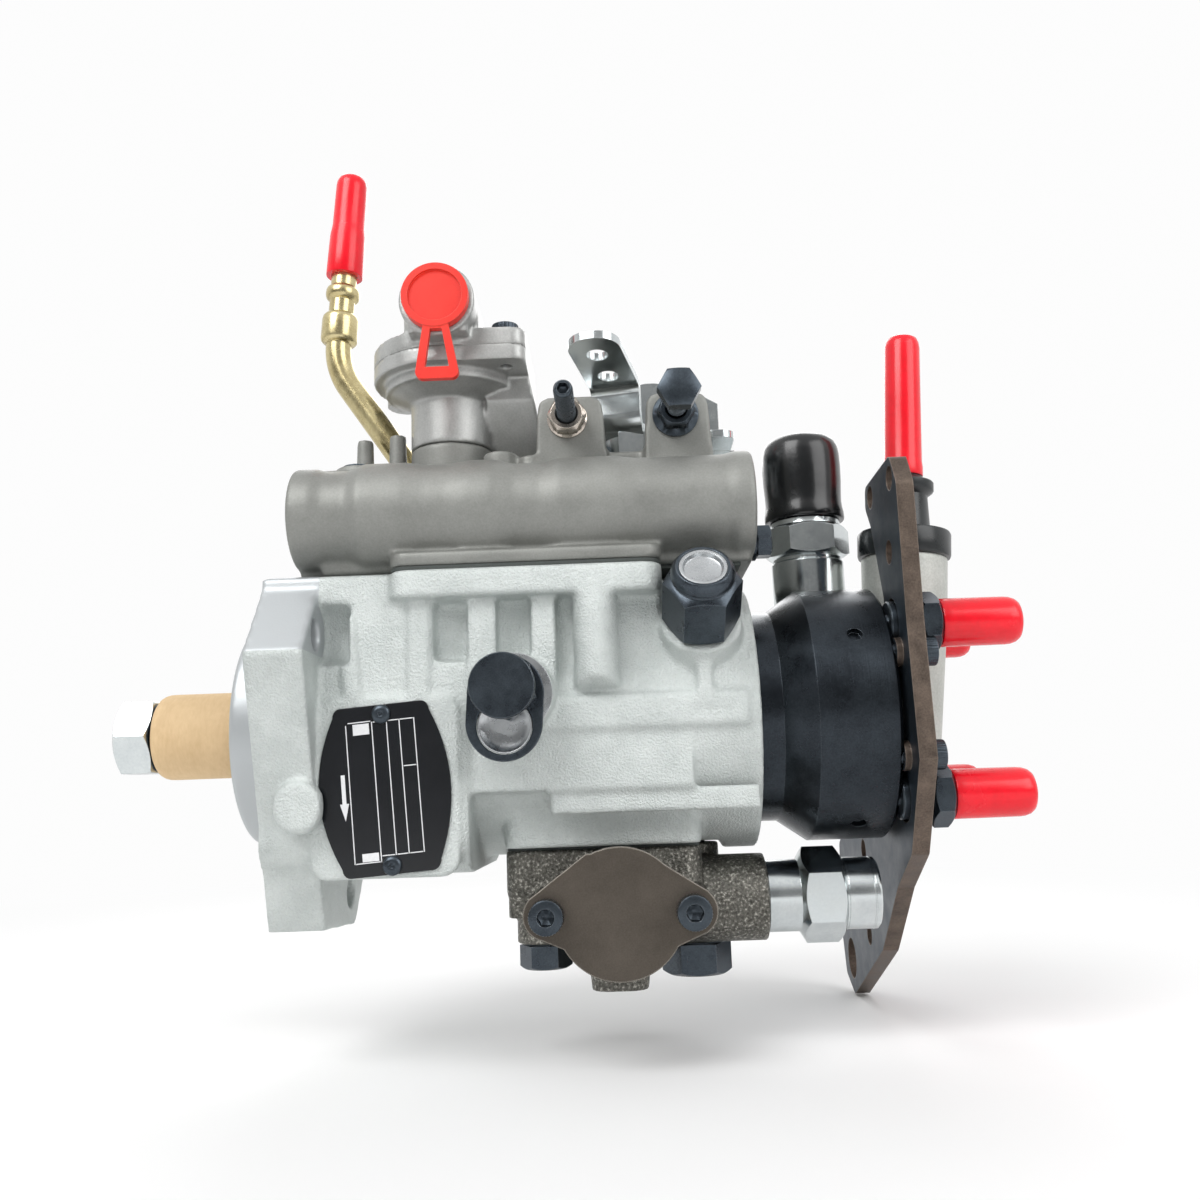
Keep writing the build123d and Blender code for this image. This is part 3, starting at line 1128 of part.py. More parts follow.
with BuildPart() as link_hook:
    with BuildSketch(Plane.XY.offset(linkage_height)):
        with Locations((94.3, -8)):
            RectangleRounded(53, 4, 1.9)
        with Locations((metering_x, -8)):
            Circle(3.6)
            Circle(1.3, mode=Mode.SUBTRACT)
    extrude(amount=1.8)
with BuildPart() as metering_valve:
    with BuildSketch(Plane.XY.offset(12)):
        with Locations((metering_x, 0)):
            Circle(4)
    extrude(amount=linkage_height - 1.4 - 12)
    with BuildSketch(Plane.XY.offset(linkage_height - 2.8)):
        with Locations((metering_x, -4)):
            RectangleRounded(7.6, 15.6, 3.7)
    extrude(amount=2.4)
    with BuildSketch(Plane.XY.offset(linkage_height - 1.4)):
        with Locations((metering_x, -8)):
            Circle(1)
    extrude(amount=5)

# ---------------------------------------------------------------- fittings on the housing's near side
with BuildPart() as nameplate:
    with BuildSketch(near_plane(34.6, plate_face, -18.4)):
        with BuildLine():
            Line((-13, 22.6), (13, 22.6))
            ThreePointArc((13, 22.6), (17.2, 0), (13, -22.6))
            Line((13, -22.6), (-13, -22.6))
            ThreePointArc((-13, -22.6), (-16.6, 0), (-13, 22.6))
        make_face()
        with Locations(*[(x - 34.6, z + 18.4) for x, z in rivets_at]):
            Circle(1.3, mode=Mode.SUBTRACT)
    extrude(amount=plate_sheet)
with BuildPart() as nameplate_rivets:
    for x, z in rivets_at:
        add(turned([(-plate_sheet - 3.5, 0), (-plate_sheet - 3.5, 1.25), (0, 1.25), (0, 2.1), (0.6, 1.8), (1.2, 0)],
                   Plane(origin=(x, plate_face - plate_sheet, z), x_dir=(0, -1, 0), z_dir=(0, 0, 1))))
with BuildPart() as keyhole_washer:
    with BuildSketch(near_plane(lock_x, lock_face, lock_z)):
        with Locations((0, 0), (-0.5, -8)):
            Circle(10.4)
        with Locations((-0.3, -4)):
            Rectangle(20.4, 8)
        Circle(5.2, mode=Mode.SUBTRACT)
        with Locations((-0.4, -9.6)):
            Circle(6.0, mode=Mode.SUBTRACT)
    extrude(amount=1.8)
with BuildPart() as lock_bolt:
    add(bolt(near_plane(lock_x, lock_face - 1.8, lock_z), 14, 9.4, 10, 12.4))
with BuildPart() as vent_fitting:
    with BuildSketch(vent_plane.offset(vent_seat)):
        Circle(5)
    extrude(amount=-8.5)
    with BuildSketch(vent_plane.offset(vent_seat)):
        RegularPolygon(radius=9.6, side_count=6, major_radius=False, rotation=30)
    extrude(amount=23 - vent_seat)
    with BuildSketch(vent_plane.offset(23)):
        Circle(8.6)
    extrude(amount=4.5)
    with BuildSketch(vent_plane.offset(27.5)):
        Circle(6.6)
    extrude(amount=-2, mode=Mode.SUBTRACT)

# ---------------------------------------------------------------- export
pieces = dict(
    pump_housing=pump_housing, governor_cover=governor_cover, cover_gasket=cover_gasket, cover_screws=cover_screws,
    throttle_lever=throttle_lever,
    throttle_spring=throttle_spring, low_idle_screw=low_idle_screw, stop_screw_nuts=stop_screw_nuts,
    max_speed_screw=max_speed_screw, stop_lever=stop_lever, boost_body=boost_body,
    boost_cover=boost_cover, boost_screws=boost_screws, boost_plug=boost_plug, boost_rod=boost_rod,
    boost_spring=boost_spring, return_pipe=return_pipe,
    stop_solenoid=stop_solenoid, solenoid_cap=solenoid_cap, hydraulic_head=hydraulic_head,
    delivery_holders=delivery_holders, transit_caps=transit_caps, support_bracket=support_bracket,
    bracket_screws=bracket_screws, end_plate=end_plate, inlet_connector=inlet_connector,
    advance_body=advance_body, advance_gasket=advance_gasket,
    advance_cover_plate=advance_cover_plate,
    advance_side_plug=advance_side_plug, advance_bolts=advance_bolts, advance_piston=advance_piston,
    advance_spring=advance_spring, cam_ring=cam_ring, drive_shaft=drive_shaft, shaft_nut=shaft_nut,
    shaft_sleeve=shaft_sleeve, shaft_seal=shaft_seal, shaft_bush=shaft_bush,
    weight_carrier=weight_carrier, thrust_sleeve=thrust_sleeve, distributor_rotor=distributor_rotor,
    transfer_liner=transfer_liner, governor_arm=governor_arm, pivot_pin=pivot_pin, governor_spring=governor_spring,
    link_hook=link_hook, metering_valve=metering_valve, nameplate=nameplate, nameplate_rivets=nameplate_rivets,
    keyhole_washer=keyhole_washer, lock_bolt=lock_bolt, vent_fitting=vent_fitting)
shapes = {name: piece.part for name, piece in pieces.items()}
shapes.update({f"flyweight_{number + 1}": shape for number, shape in enumerate(flyweights)})
shapes.update({f"plunger_{number + 1}": shape for number, shape in enumerate(plungers)})
for name, shape in shapes.items():
    shape.label = name
    export_step(shape, f"parts/{name}.step")
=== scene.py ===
import json
from math import cos, pi, radians, sin

import bmesh
import bpy
from mathutils import Matrix, Vector


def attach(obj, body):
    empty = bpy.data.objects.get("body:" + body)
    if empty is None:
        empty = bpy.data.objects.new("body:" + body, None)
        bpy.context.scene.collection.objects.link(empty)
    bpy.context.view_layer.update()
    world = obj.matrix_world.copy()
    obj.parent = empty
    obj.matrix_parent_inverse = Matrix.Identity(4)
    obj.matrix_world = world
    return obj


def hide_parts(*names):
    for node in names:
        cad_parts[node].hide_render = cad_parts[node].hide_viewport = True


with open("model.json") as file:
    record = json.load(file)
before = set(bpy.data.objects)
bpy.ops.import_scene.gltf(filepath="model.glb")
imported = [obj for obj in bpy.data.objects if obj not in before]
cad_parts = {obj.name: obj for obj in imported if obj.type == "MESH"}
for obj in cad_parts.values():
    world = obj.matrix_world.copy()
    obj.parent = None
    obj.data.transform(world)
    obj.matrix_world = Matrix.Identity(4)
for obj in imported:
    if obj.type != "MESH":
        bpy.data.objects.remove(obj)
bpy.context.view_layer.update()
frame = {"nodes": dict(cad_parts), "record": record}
nodes = frame["nodes"]
slotOf = {part["node"]: part["material_slot"] for part in frame["record"]["subparts"]}
mm = 0.001
print("frame loaded:", len(nodes), "nodes")


def linearColour(hexValue):
    # sRGB hex to the linear values that shaders take
    parts = [int(hexValue[i:i + 2], 16) / 255 for i in (0, 2, 4)]
    linear = [p / 12.92 if p <= 0.04045 else ((p + 0.055) / 1.055) ** 2.4 for p in parts]
    return (*linear, 1.0)


def addNode(tree, kind, settings=None, links=None):
    # one node: settings are its properties or input values, links feed its inputs
    node = tree.nodes.new(kind)
    for name, value in (settings or {}).items():
        if isinstance(name, str) and hasattr(node, name) and name not in node.inputs:
            setattr(node, name, value)
        else:
            node.inputs[name].default_value = value
    for name, output in (links or {}).items():
        tree.links.new(output, node.inputs[name])
    return node


def perMetre(millimetres):
    # texture scale whose features are this large
    return 1000.0 / millimetres


# finishes
# colour and dark are the two ends of the tone, grain and patch are feature sizes in mm, depth is the
# relief in mm, the wear and highlight tone is what edges are lightened to, partly rubbed wear and partly
# painted highlight on the rims, and it also colours the painted glints. lines are a lathe's marks: axis,
# pitch and depth in mm. faces tones the flats that look along one axis. The glint share is the share of
# grains lightened as painted glints.
# Sand grains and lathe marks are drawn coarser than real ones, so that they show.
# milled lists the boxes in mm (x, y and z from and to) whose surfaces were cut after casting.
finishes = {
    # sand-cast aluminium, shot-blasted: pale cool grey, no clear reflections, leathery grain
    "sand_cast_aluminium": dict(colour="D4D9D7", dark="BBC1BF", metallic=0.6, rough=(0.42, 0.56), grain=0.62,
                                patch=13, depth=0.5, worn="DEDFDD", edge=0.8, edgeAmount=0.45, grainShare=0.3,
                                cut="B4B8BA",
                                milled=[(-13, -0.15, -40, 40, -40, 40), (-0.15, 16.5, -60, 60, 18.6, 44)]),
    # gravity-die aluminium, tumbled: mid grey and satin, smoother than the housing
    "grey_cast_aluminium": dict(colour="92938F", dark="7F807C", metallic=0.5, rough=(0.46, 0.58), grain=0.6,
                                patch=15, depth=0.05, worn="B5B4AE", edge=0.9, edgeAmount=0.5),
    # fine sand casting with a greenish tint
    "pale_cast_aluminium": dict(colour="CBCDC8", dark="AFB2AC", metallic=0.6, rough=(0.42, 0.56), grain=0.7,
                                patch=12, depth=0.08, worn="E0E1DE", edge=0.6, edgeAmount=0.5,
                                grainShare=0.5),
    # die-cast aluminium: light grey and smooth with a soft sheen
    "boost_aluminium": dict(colour="BBBCBA", dark="9D9E9C", metallic=0.65, rough=(0.34, 0.48), grain=0.6,
                            patch=10, depth=0.05, worn="D8D9D7", edge=0.5, edgeAmount=0.5),
    # black oxide on steel: slate with a blue cast, oily sheen, corners lightened to grey, partly by polish
    # and partly as a painted rim highlight
    "black_oxide_steel": dict(colour="50585F", dark="383E45", metallic=0.9, rough=(0.24, 0.36), grain=0.4,
                              patch=8, depth=0.006, worn="9AA2A8", edge=0.3, edgeAmount=0.5),
    # the same finish on a turned forging: fine lathe marks round the axis
    "black_turned_steel": dict(colour="3A4046", dark="262A2F", metallic=0.9, rough=(0.24, 0.34), grain=0.5,
                               patch=12, depth=0.005, worn="7E858B", edge=0.35, edgeAmount=0.5,
                               lines=("X", 0.5, 0.045)),
    # bright zinc plate: cool silver mirror, slightly cloudy
    "zinc_plated_steel": dict(colour="D6DBDB", dark="C2C8CA", metallic=1.0, rough=(0.14, 0.24), grain=0.8,
                              patch=9, depth=0.004, worn="EEF0F1", edge=0.3, edgeAmount=0.4),
    # yellow chromate over zinc: olive gold with rosy patches, edges lightened partly as polish from bending
    # and partly as a painted highlight
    "yellow_zinc_steel": dict(colour="D6CA9E", dark="B5A578", metallic=1.0, rough=(0.2, 0.34), grain=0.7,
                              patch=8, depth=0.004, worn="E9DDB4", edge=0.3, edgeAmount=0.3),
    # turned and ground steel: mid grey with a clear, slightly broken reflection
    "machined_steel": dict(colour="B4B4B2", dark="96969A", metallic=1.0, rough=(0.22, 0.36), grain=0.5,
                           patch=10, depth=0.004, worn="D8D8D8", edge=0.3, edgeAmount=0.3),
    # fresh cut aluminium: white silver with tool marks
    "machined_aluminium": dict(colour="C2C5C7", dark="AFB2B4", metallic=1.0, rough=(0.22, 0.34), grain=0.5,
                               patch=6, depth=0.004, worn="F0F0F0", edge=0.3, edgeAmount=0.3),
    # bright nickel on a nut: silver with a faint warm cast
    "nickel_plated_steel": dict(colour="D2C9BF", dark="AEA499", metallic=1.0, rough=(0.16, 0.28), grain=0.5,
                                patch=6, depth=0.004, worn="EAE4DC", edge=0.3, edgeAmount=0.4),
    # drawn spring wire: grey with a dull gloss
    "spring_steel": dict(colour="8B8B8D", dark="5E5F62", metallic=1.0, rough=(0.25, 0.4), grain=0.5, patch=5,
                         depth=0.004, worn="B0B0B0", edge=0.2, edgeAmount=0.2),
    # hot-rolled plate: blue-grey scale on the faces, brown and scored where it was sheared
    "bare_dark_steel": dict(colour="75675C", dark="4B423C", metallic=0.75, rough=(0.36, 0.5), grain=0.5,
                            patch=7, depth=0.01, worn="A39589", edge=0.5, edgeAmount=0.6,
                            faces=("X", "3E4852", "2C343C"), lines=("X", 1.1, 0.02)),
    # cover plate with a brown film of rust inhibitor: flat and almost matt
    "brown_steel_plate": dict(colour="5F5850", dark="4C463F", metallic=0.7, rough=(0.4, 0.54), grain=0.45,
                              patch=15, depth=0.012, worn="C2BCB2", edge=0.7, edgeAmount=0.8),
    # grey cast iron from a sand mould: dark and coarse, the tops of the grains lightened as painted glints
    "dark_cast_iron": dict(colour="807E77", dark="43423E", metallic=0.85, rough=(0.34, 0.5), grain=0.85,
                           patch=10, depth=0.4, worn="CFCCC3", edge=0.7, edgeAmount=0.5, grainShare=0.8,
                           speckle=0.6),
    # cast bronze: warm yellow brown, satin
    "bronze": dict(colour="B98A55", dark="96683A", metallic=1.0, rough=(0.25, 0.4), grain=0.5, patch=8,
                   depth=0.005, worn="D6AC78", edge=0.3, edgeAmount=0.3),
    # soft vinyl dip caps: saturated, with a soft gloss
    "red_vinyl": dict(colour="F00020", dark="DC0018", metallic=0.0, rough=(0.2, 0.28), grain=2.2, patch=16,
                      depth=0.006, worn="E42A44", edge=0.4, edgeAmount=0.15),
    # moulded polythene: bright orange red, satin, pale at the edges
    "orange_plastic": dict(colour="EA2C1A", dark="DC2212", metallic=0.0, rough=(0.34, 0.42), grain=0.8,
                           patch=9, depth=0.004, worn="FF7C68", edge=0.35, edgeAmount=0.4),
    # dipped vinyl: black and glossy with a slow ripple
    "black_vinyl": dict(colour="0B0E10", dark="07090B", metallic=0.0, rough=(0.2, 0.3), grain=3.2, patch=12,
                        depth=0.05, worn="1A1E20", edge=0.4, edgeAmount=0.2, coat=0.15),
    # moulded nylon: nearly black, smooth and half glossy
    "dark_green_plastic": dict(colour="1F2426", dark="141819", metallic=0.0, rough=(0.24, 0.36), grain=0.8,
                               patch=8, depth=0.006, worn="3C4446", edge=0.3, edgeAmount=0.4),
    # screen-printed plate under clear lacquer
    "black_gloss_plate": dict(colour="0A0E14", dark="070A0F", metallic=0.0, rough=(0.2, 0.28), grain=0.9,
                              patch=20, depth=0.003, worn="2A2D34", edge=0.2, edgeAmount=0.3, coat=0.15),
    # screen print: off-white and matt
    "white_print": dict(colour="E6E7E8", dark="D5D6D8", metallic=0.0, rough=(0.4, 0.5), grain=0.6, patch=5,
                        depth=0.002, worn="F0F0F0", edge=0.05, edgeAmount=0.0),
    # moulded rubber: black and matt
    "black_rubber": dict(colour="17171A", dark="0F0F11", metallic=0.0, rough=(0.5, 0.65), grain=0.6, patch=7,
                         depth=0.02, worn="2C2C30", edge=0.3, edgeAmount=0.2),
    # kraft paper wound into a tube: light tan, fibres round it, matt
    "kraft_card": dict(colour="DFC298", dark="D0B185", metallic=0.0, rough=(0.62, 0.78), grain=0.9, patch=7,
                       depth=0.025, worn="E8CBA2", edge=0.3, edgeAmount=0.3, stretch=(1.0, 0.4, 0.4)),
    # pressed fibre: grey green and matt
    "gasket_paper": dict(colour="4A504D", dark="383D3B", metallic=0.0, rough=(0.6, 0.8), grain=0.5, patch=6,
                         depth=0.01, worn="707D76", edge=0.2, edgeAmount=0.2),
}


def makeFinish(name, look):
    material = bpy.data.materials.new(name)
    material.use_nodes = True
    tree = material.node_tree
    tree.nodes.clear()
    place = addNode(tree, "ShaderNodeTexCoord")
    mapped = addNode(tree, "ShaderNodeMapping", {"Scale": look.get("stretch", (1, 1, 1))},
                     {"Vector": place.outputs["Object"]})
    spot = mapped.outputs["Vector"]
    grain = addNode(tree, "ShaderNodeTexNoise",
                    {"Scale": perMetre(look["grain"]), "Detail": 3, "Roughness": 0.6}, {"Vector": spot})
    patch = addNode(tree, "ShaderNodeTexNoise",
                    {"Scale": perMetre(look["patch"]), "Detail": 4, "Roughness": 0.65}, {"Vector": spot})
    tone = addNode(tree, "ShaderNodeMix", {"data_type": "FLOAT", "Factor": look.get("grainShare", 0.4)},
                   {"A": patch.outputs["Fac"], "B": grain.outputs["Fac"]})
    spread = addNode(tree, "ShaderNodeMapRange", {"From Min": 0.34, "From Max": 0.66},
                     {"Value": tone.outputs["Result"]})
    body = addNode(tree, "ShaderNodeMix",
                   {"data_type": "RGBA", 6: linearColour(look["dark"]), 7: linearColour(look["colour"])},
                   {0: spread.outputs["Result"]})
    colour = body.outputs[2]
    if "faces" in look:
        # the rolled faces keep their scale, the cut edge doesn't
        axis, pale, deep = look["faces"]
        along = addNode(tree, "ShaderNodeSeparateXYZ", links={0: place.outputs["Normal"]})
        flat = addNode(tree, "ShaderNodeMath", {"operation": "ABSOLUTE"}, {0: along.outputs[axis]})
        share = addNode(tree, "ShaderNodeMapRange", {"From Min": 0.6, "From Max": 0.8},
                        {"Value": flat.outputs[0]})
        scale = addNode(tree, "ShaderNodeMix",
                        {"data_type": "RGBA", 6: linearColour(deep), 7: linearColour(pale)},
                        {0: spread.outputs["Result"]})
        colour = addNode(tree, "ShaderNodeMix", {"data_type": "RGBA"},
                         {0: share.outputs["Result"], 6: colour, 7: scale.outputs[2]}).outputs[2]
    if "speckle" in look:
        # painted glints: the tops of the grains are lightened as if they caught the light
        top = addNode(tree, "ShaderNodeMapRange",
                      {"From Min": 0.56, "From Max": 0.68, "To Max": look["speckle"]},
                      {"Value": grain.outputs["Fac"]})
        colour = addNode(tree, "ShaderNodeMix", {"data_type": "RGBA", 7: linearColour(look["worn"])},
                         {0: top.outputs["Result"], 6: colour}).outputs[2]
    grainHeight, patchRough = grain.outputs["Fac"], patch.outputs["Fac"]
    if "milled" in look:
        # inside the boxes the tone is that of the cut metal and the sand grain is gone
        at = addNode(tree, "ShaderNodeSeparateXYZ", links={0: place.outputs["Object"]})
        insides = []
        for box in look["milled"]:
            sides = []
            for number, axis in enumerate("XYZ"):
                low, high = box[2 * number] * mm, box[2 * number + 1] * mm
                side = addNode(tree, "ShaderNodeMath",
                               {"operation": "COMPARE", 1: (low + high) / 2, 2: (high - low) / 2},
                               {0: at.outputs[axis]})
                sides.append(side.outputs[0])
            two = addNode(tree, "ShaderNodeMath", {"operation": "MULTIPLY"}, {0: sides[0], 1: sides[1]})
            three = addNode(tree, "ShaderNodeMath", {"operation": "MULTIPLY"},
                            {0: two.outputs[0], 1: sides[2]})
            insides.append(three.outputs[0])
        cut = insides[0]
        for inside in insides[1:]:
            cut = addNode(tree, "ShaderNodeMath", {"operation": "MAXIMUM"}, {0: inside, 1: cut}).outputs[0]
        colour = addNode(tree, "ShaderNodeMix", {"data_type": "RGBA", 7: linearColour(look["cut"])},
                         {0: cut, 6: colour}).outputs[2]
        lost = addNode(tree, "ShaderNodeMath", {"operation": "MULTIPLY", 1: 0.93}, {0: cut})
        kept = addNode(tree, "ShaderNodeMath", {"operation": "SUBTRACT", 0: 1.0}, {1: lost.outputs[0]})
        grainLeft = addNode(tree, "ShaderNodeMath", {"operation": "MULTIPLY"},
                            {0: grainHeight, 1: kept.outputs[0]})
        patchLeft = addNode(tree, "ShaderNodeMath", {"operation": "MULTIPLY"},
                            {0: patchRough, 1: kept.outputs[0]})
        grainHeight, patchRough = grainLeft.outputs[0], patchLeft.outputs[0]
    # edges lightened where the rounded normal turns away from the true one, partly as rubbed wear and partly
    # as a painted highlight on the rims
    rounded = addNode(tree, "ShaderNodeBevel", {"samples": 4, "Radius": look["edge"] * mm})
    true = addNode(tree, "ShaderNodeNewGeometry")
    turn = addNode(tree, "ShaderNodeVectorMath", {"operation": "DOT_PRODUCT"},
                   {0: rounded.outputs["Normal"], 1: true.outputs["Normal"]})
    edge = addNode(tree, "ShaderNodeMapRange",
                   {"From Min": 0.98, "From Max": 0.8, "To Max": look["edgeAmount"]},
                   {"Value": turn.outputs["Value"]})
    worn = addNode(tree, "ShaderNodeMix", {"data_type": "RGBA", 7: linearColour(look["worn"])},
                   {0: edge.outputs["Result"], 6: colour})
    rough = addNode(tree, "ShaderNodeMapRange", {
        "From Min": 0.3, "From Max": 0.7, "To Min": look["rough"][0], "To Max": look["rough"][1]},
                    {"Value": patchRough})
    relief = addNode(tree, "ShaderNodeBump", {"Strength": 1.0, "Distance": look["depth"] * mm},
                     {"Height": grainHeight, "Normal": rounded.outputs["Normal"]})
    if "lines" in look:
        axis, pitch, depth = look["lines"]
        along = addNode(tree, "ShaderNodeMapping",
                        {"Scale": {"X": (1, 0, 0), "Y": (0, 1, 0), "Z": (0, 0, 1)}[axis]},
                        {"Vector": place.outputs["Object"]})
        marks = addNode(tree, "ShaderNodeTexNoise", {"Scale": perMetre(pitch), "Detail": 2, "Roughness": 0.7},
                        {"Vector": along.outputs["Vector"]})
        relief = addNode(tree, "ShaderNodeBump", {"Strength": 1.0, "Distance": depth * mm},
                         {"Height": marks.outputs["Fac"], "Normal": relief.outputs["Normal"]})
    shader = addNode(tree, "ShaderNodeBsdfPrincipled", {
        "Metallic": look["metallic"], "Coat Weight": look.get("coat", 0.0), "Coat Roughness": 0.08}, {
        "Base Color": worn.outputs[2], "Roughness": rough.outputs["Result"],
        "Normal": relief.outputs["Normal"]})
    addNode(tree, "ShaderNodeOutputMaterial", links={"Surface": shader.outputs["BSDF"]})
    return material


materials = {name: makeFinish(name, look) for name, look in finishes.items()}
finishOf = dict(slotOf, hydraulic_head="black_turned_steel")
for name, node in nodes.items():
    node.data.materials.clear()
    node.data.materials.append(materials[finishOf[name]])
print("finishes made:", len(materials))


def finishPiece(piece, finish, stands=(), body="pump", sharp=35):
    # material, shading and body of a finished piece; the CAD parts it stands for are hidden
    piece.data.materials.clear()
    piece.data.materials.append(materials[finish])
    piece.data.shade_smooth()
    piece.data.set_sharp_from_angle(angle=radians(sharp))
    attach(piece, body)
    if stands:
        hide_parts(*stands)
    print("piece:", piece.name, len(piece.data.polygons), "faces")
    return piece


def pieceFrom(name, mesh):
    piece = bpy.data.objects.new(name, mesh)
    bpy.context.scene.collection.objects.link(piece)
    return piece


def seatTurn(axis, across=(1, 0, 0)):
    # Euler turn that puts local Z on the axis and local X as near as can be to across
    z = Vector(axis).normalized()
    x = (Vector(across) - z * Vector(across).dot(z)).normalized()
    y = z.cross(x)
    return Matrix(((x.x, y.x, z.x), (x.y, y.y, z.y), (x.z, y.z, z.z))).to_euler()


def newTree(name, sockets):
    # empty geometry tree with named inputs
    tree = bpy.data.node_groups.new(name, "GeometryNodeTree")
    tree.interface.new_socket("Geometry", in_out="INPUT", socket_type="NodeSocketGeometry")
    for label, kind, value in sockets:
        socket = tree.interface.new_socket(label, in_out="INPUT", socket_type=kind)
        if value is not None:
            socket.default_value = value
    tree.interface.new_socket("Geometry", in_out="OUTPUT", socket_type="NodeSocketGeometry")
    return tree, tree.nodes.new("NodeGroupInput"), tree.nodes.new("NodeGroupOutput")


def setOnSeats(tree, seats, shape):
    # a copy of the shape on each seat, turned the seat's way
    facing = addNode(tree, "GeometryNodeInputNamedAttribute", {"data_type": "FLOAT_VECTOR", "Name": "turn"})
    turn = addNode(tree, "FunctionNodeEulerToRotation", links={"Euler": facing.outputs["Attribute"]})
    copies = addNode(tree, "GeometryNodeInstanceOnPoints",
                     links={"Points": seats, "Instance": shape, "Rotation": turn.outputs["Rotation"]})
    return copies.outputs["Instances"]


def endTree(tree, grown, given, result):
    # real geometry in the finish that was given
    real = addNode(tree, "GeometryNodeRealizeInstances", links={"Geometry": grown})
    painted = addNode(tree, "GeometryNodeSetMaterial",
                      links={"Geometry": real.outputs["Geometry"], "Material": given.outputs["Finish"]})
    tree.links.new(painted.outputs["Geometry"], result.inputs["Geometry"])
    return tree


def buildTurnedTree():
    # the host carries an outline (radius, height) and the seats; the tree spins the outline,
    # pushes marked rings out to a hexagon or a knurl, and sets a copy on each seat
    tree, given, result = newTree("turnedFitting", (("Steps Round", "NodeSocketInt", 48),
                                                    ("Knurls", "NodeSocketInt", 0),
                                                    ("Knurl Depth", "NodeSocketFloat", 0.0),
                                                    ("Chamfer Slope", "NodeSocketFloat", 0.577),
                                                    ("Finish", "NodeSocketMaterial", None)))
    seatMark = addNode(tree, "GeometryNodeInputNamedAttribute", {"data_type": "BOOLEAN", "Name": "isSeat"})
    split = addNode(tree, "GeometryNodeSeparateGeometry", {"domain": "POINT"},
                    {"Geometry": given.outputs["Geometry"], "Selection": seatMark.outputs["Attribute"]})
    outline = addNode(tree, "GeometryNodeMeshToCurve", links={"Mesh": split.outputs["Inverted"]})
    ring = addNode(tree, "GeometryNodeCurvePrimitiveCircle", {"Radius": 0.01},
                   {"Resolution": given.outputs["Steps Round"]})
    index = addNode(tree, "GeometryNodeInputIndex")
    step = addNode(tree, "ShaderNodeMath", {"operation": "DIVIDE"},
                   {0: index.outputs[0], 1: given.outputs["Steps Round"]})
    around = addNode(tree, "ShaderNodeMath", {"operation": "MULTIPLY", 1: 2 * pi}, {0: step.outputs[0]})
    marked = addNode(tree, "GeometryNodeStoreNamedAttribute",
                     {"data_type": "FLOAT", "domain": "POINT", "Name": "angle"},
                     {"Geometry": ring.outputs["Curve"], "Value": around.outputs[0]})
    swept = addNode(tree, "GeometryNodeCurveToMesh",
                    links={"Curve": marked.outputs["Geometry"], "Profile Curve": outline.outputs["Curve"]})
    worth = {label: given.outputs[label] for label in ("Knurls", "Knurl Depth", "Chamfer Slope")}
    for label in ("angle", "reach", "height", "hexed", "dipped", "knurled"):
        read = addNode(tree, "GeometryNodeInputNamedAttribute", {"data_type": "FLOAT", "Name": label})
        worth[label] = read.outputs["Attribute"]
    # each sum has its name, the operation and what it takes
    sums = [
        # flat distance to hexagon: divide by the cosine of the angle from the nearest flat
        ("sixth", "MODULO", "angle", pi / 3),
        ("fromFlat", "SUBTRACT", "sixth", pi / 6),
        ("cosine", "COSINE", "fromFlat"),
        ("corner", "DIVIDE", 1.0, "cosine"),
        ("beyond", "SUBTRACT", "corner", 1.0),
        ("share", "MULTIPLY", "beyond", "hexed"),
        ("grown", "ADD", 1.0, "share"),
        ("pushed", "MULTIPLY", "reach", "grown"),
        # a knurl is a wave cut into the wall
        ("waves", "MULTIPLY", "angle", "Knurls"),
        ("ripple", "COSINE", "waves"),
        ("halved", "MULTIPLY", "ripple", 0.5),
        ("wave", "ADD", "halved", 0.5),
        ("depth", "MULTIPLY", "wave", "Knurl Depth"),
        ("notch", "MULTIPLY", "depth", "knurled"),
        ("final", "SUBTRACT", "pushed", "notch"),
        # a chamfer cuts lower where the corner stands further out
        ("standing", "SUBTRACT", "pushed", "reach"),
        ("sloped", "MULTIPLY", "standing", "Chamfer Slope"),
        ("drop", "MULTIPLY", "sloped", "dipped"),
        ("across", "COSINE", "angle"),
        ("X", "MULTIPLY", "final", "across"),
        ("aside", "SINE", "angle"),
        ("Y", "MULTIPLY", "final", "aside"),
        ("Z", "SUBTRACT", "height", "drop"),
    ]
    for name, operation, *takes in sums:
        numbers = {place: take for place, take in enumerate(takes) if not isinstance(take, str)}
        sockets = {place: worth[take] for place, take in enumerate(takes) if isinstance(take, str)}
        done = addNode(tree, "ShaderNodeMath", {"operation": operation, **numbers}, sockets)
        worth[name] = done.outputs[0]
    place = addNode(tree, "ShaderNodeCombineXYZ", links={axis: worth[axis] for axis in "XYZ"})
    shaped = addNode(tree, "GeometryNodeSetPosition",
                     links={"Geometry": swept.outputs["Mesh"], "Position": place.outputs[0]})
    closed = addNode(tree, "GeometryNodeMergeByDistance", {"Distance": 0.000004},
                     {"Geometry": shaped.outputs["Geometry"]})
    copies = setOnSeats(tree, split.outputs["Selection"], closed.outputs["Geometry"])
    return endTree(tree, copies, given, result)


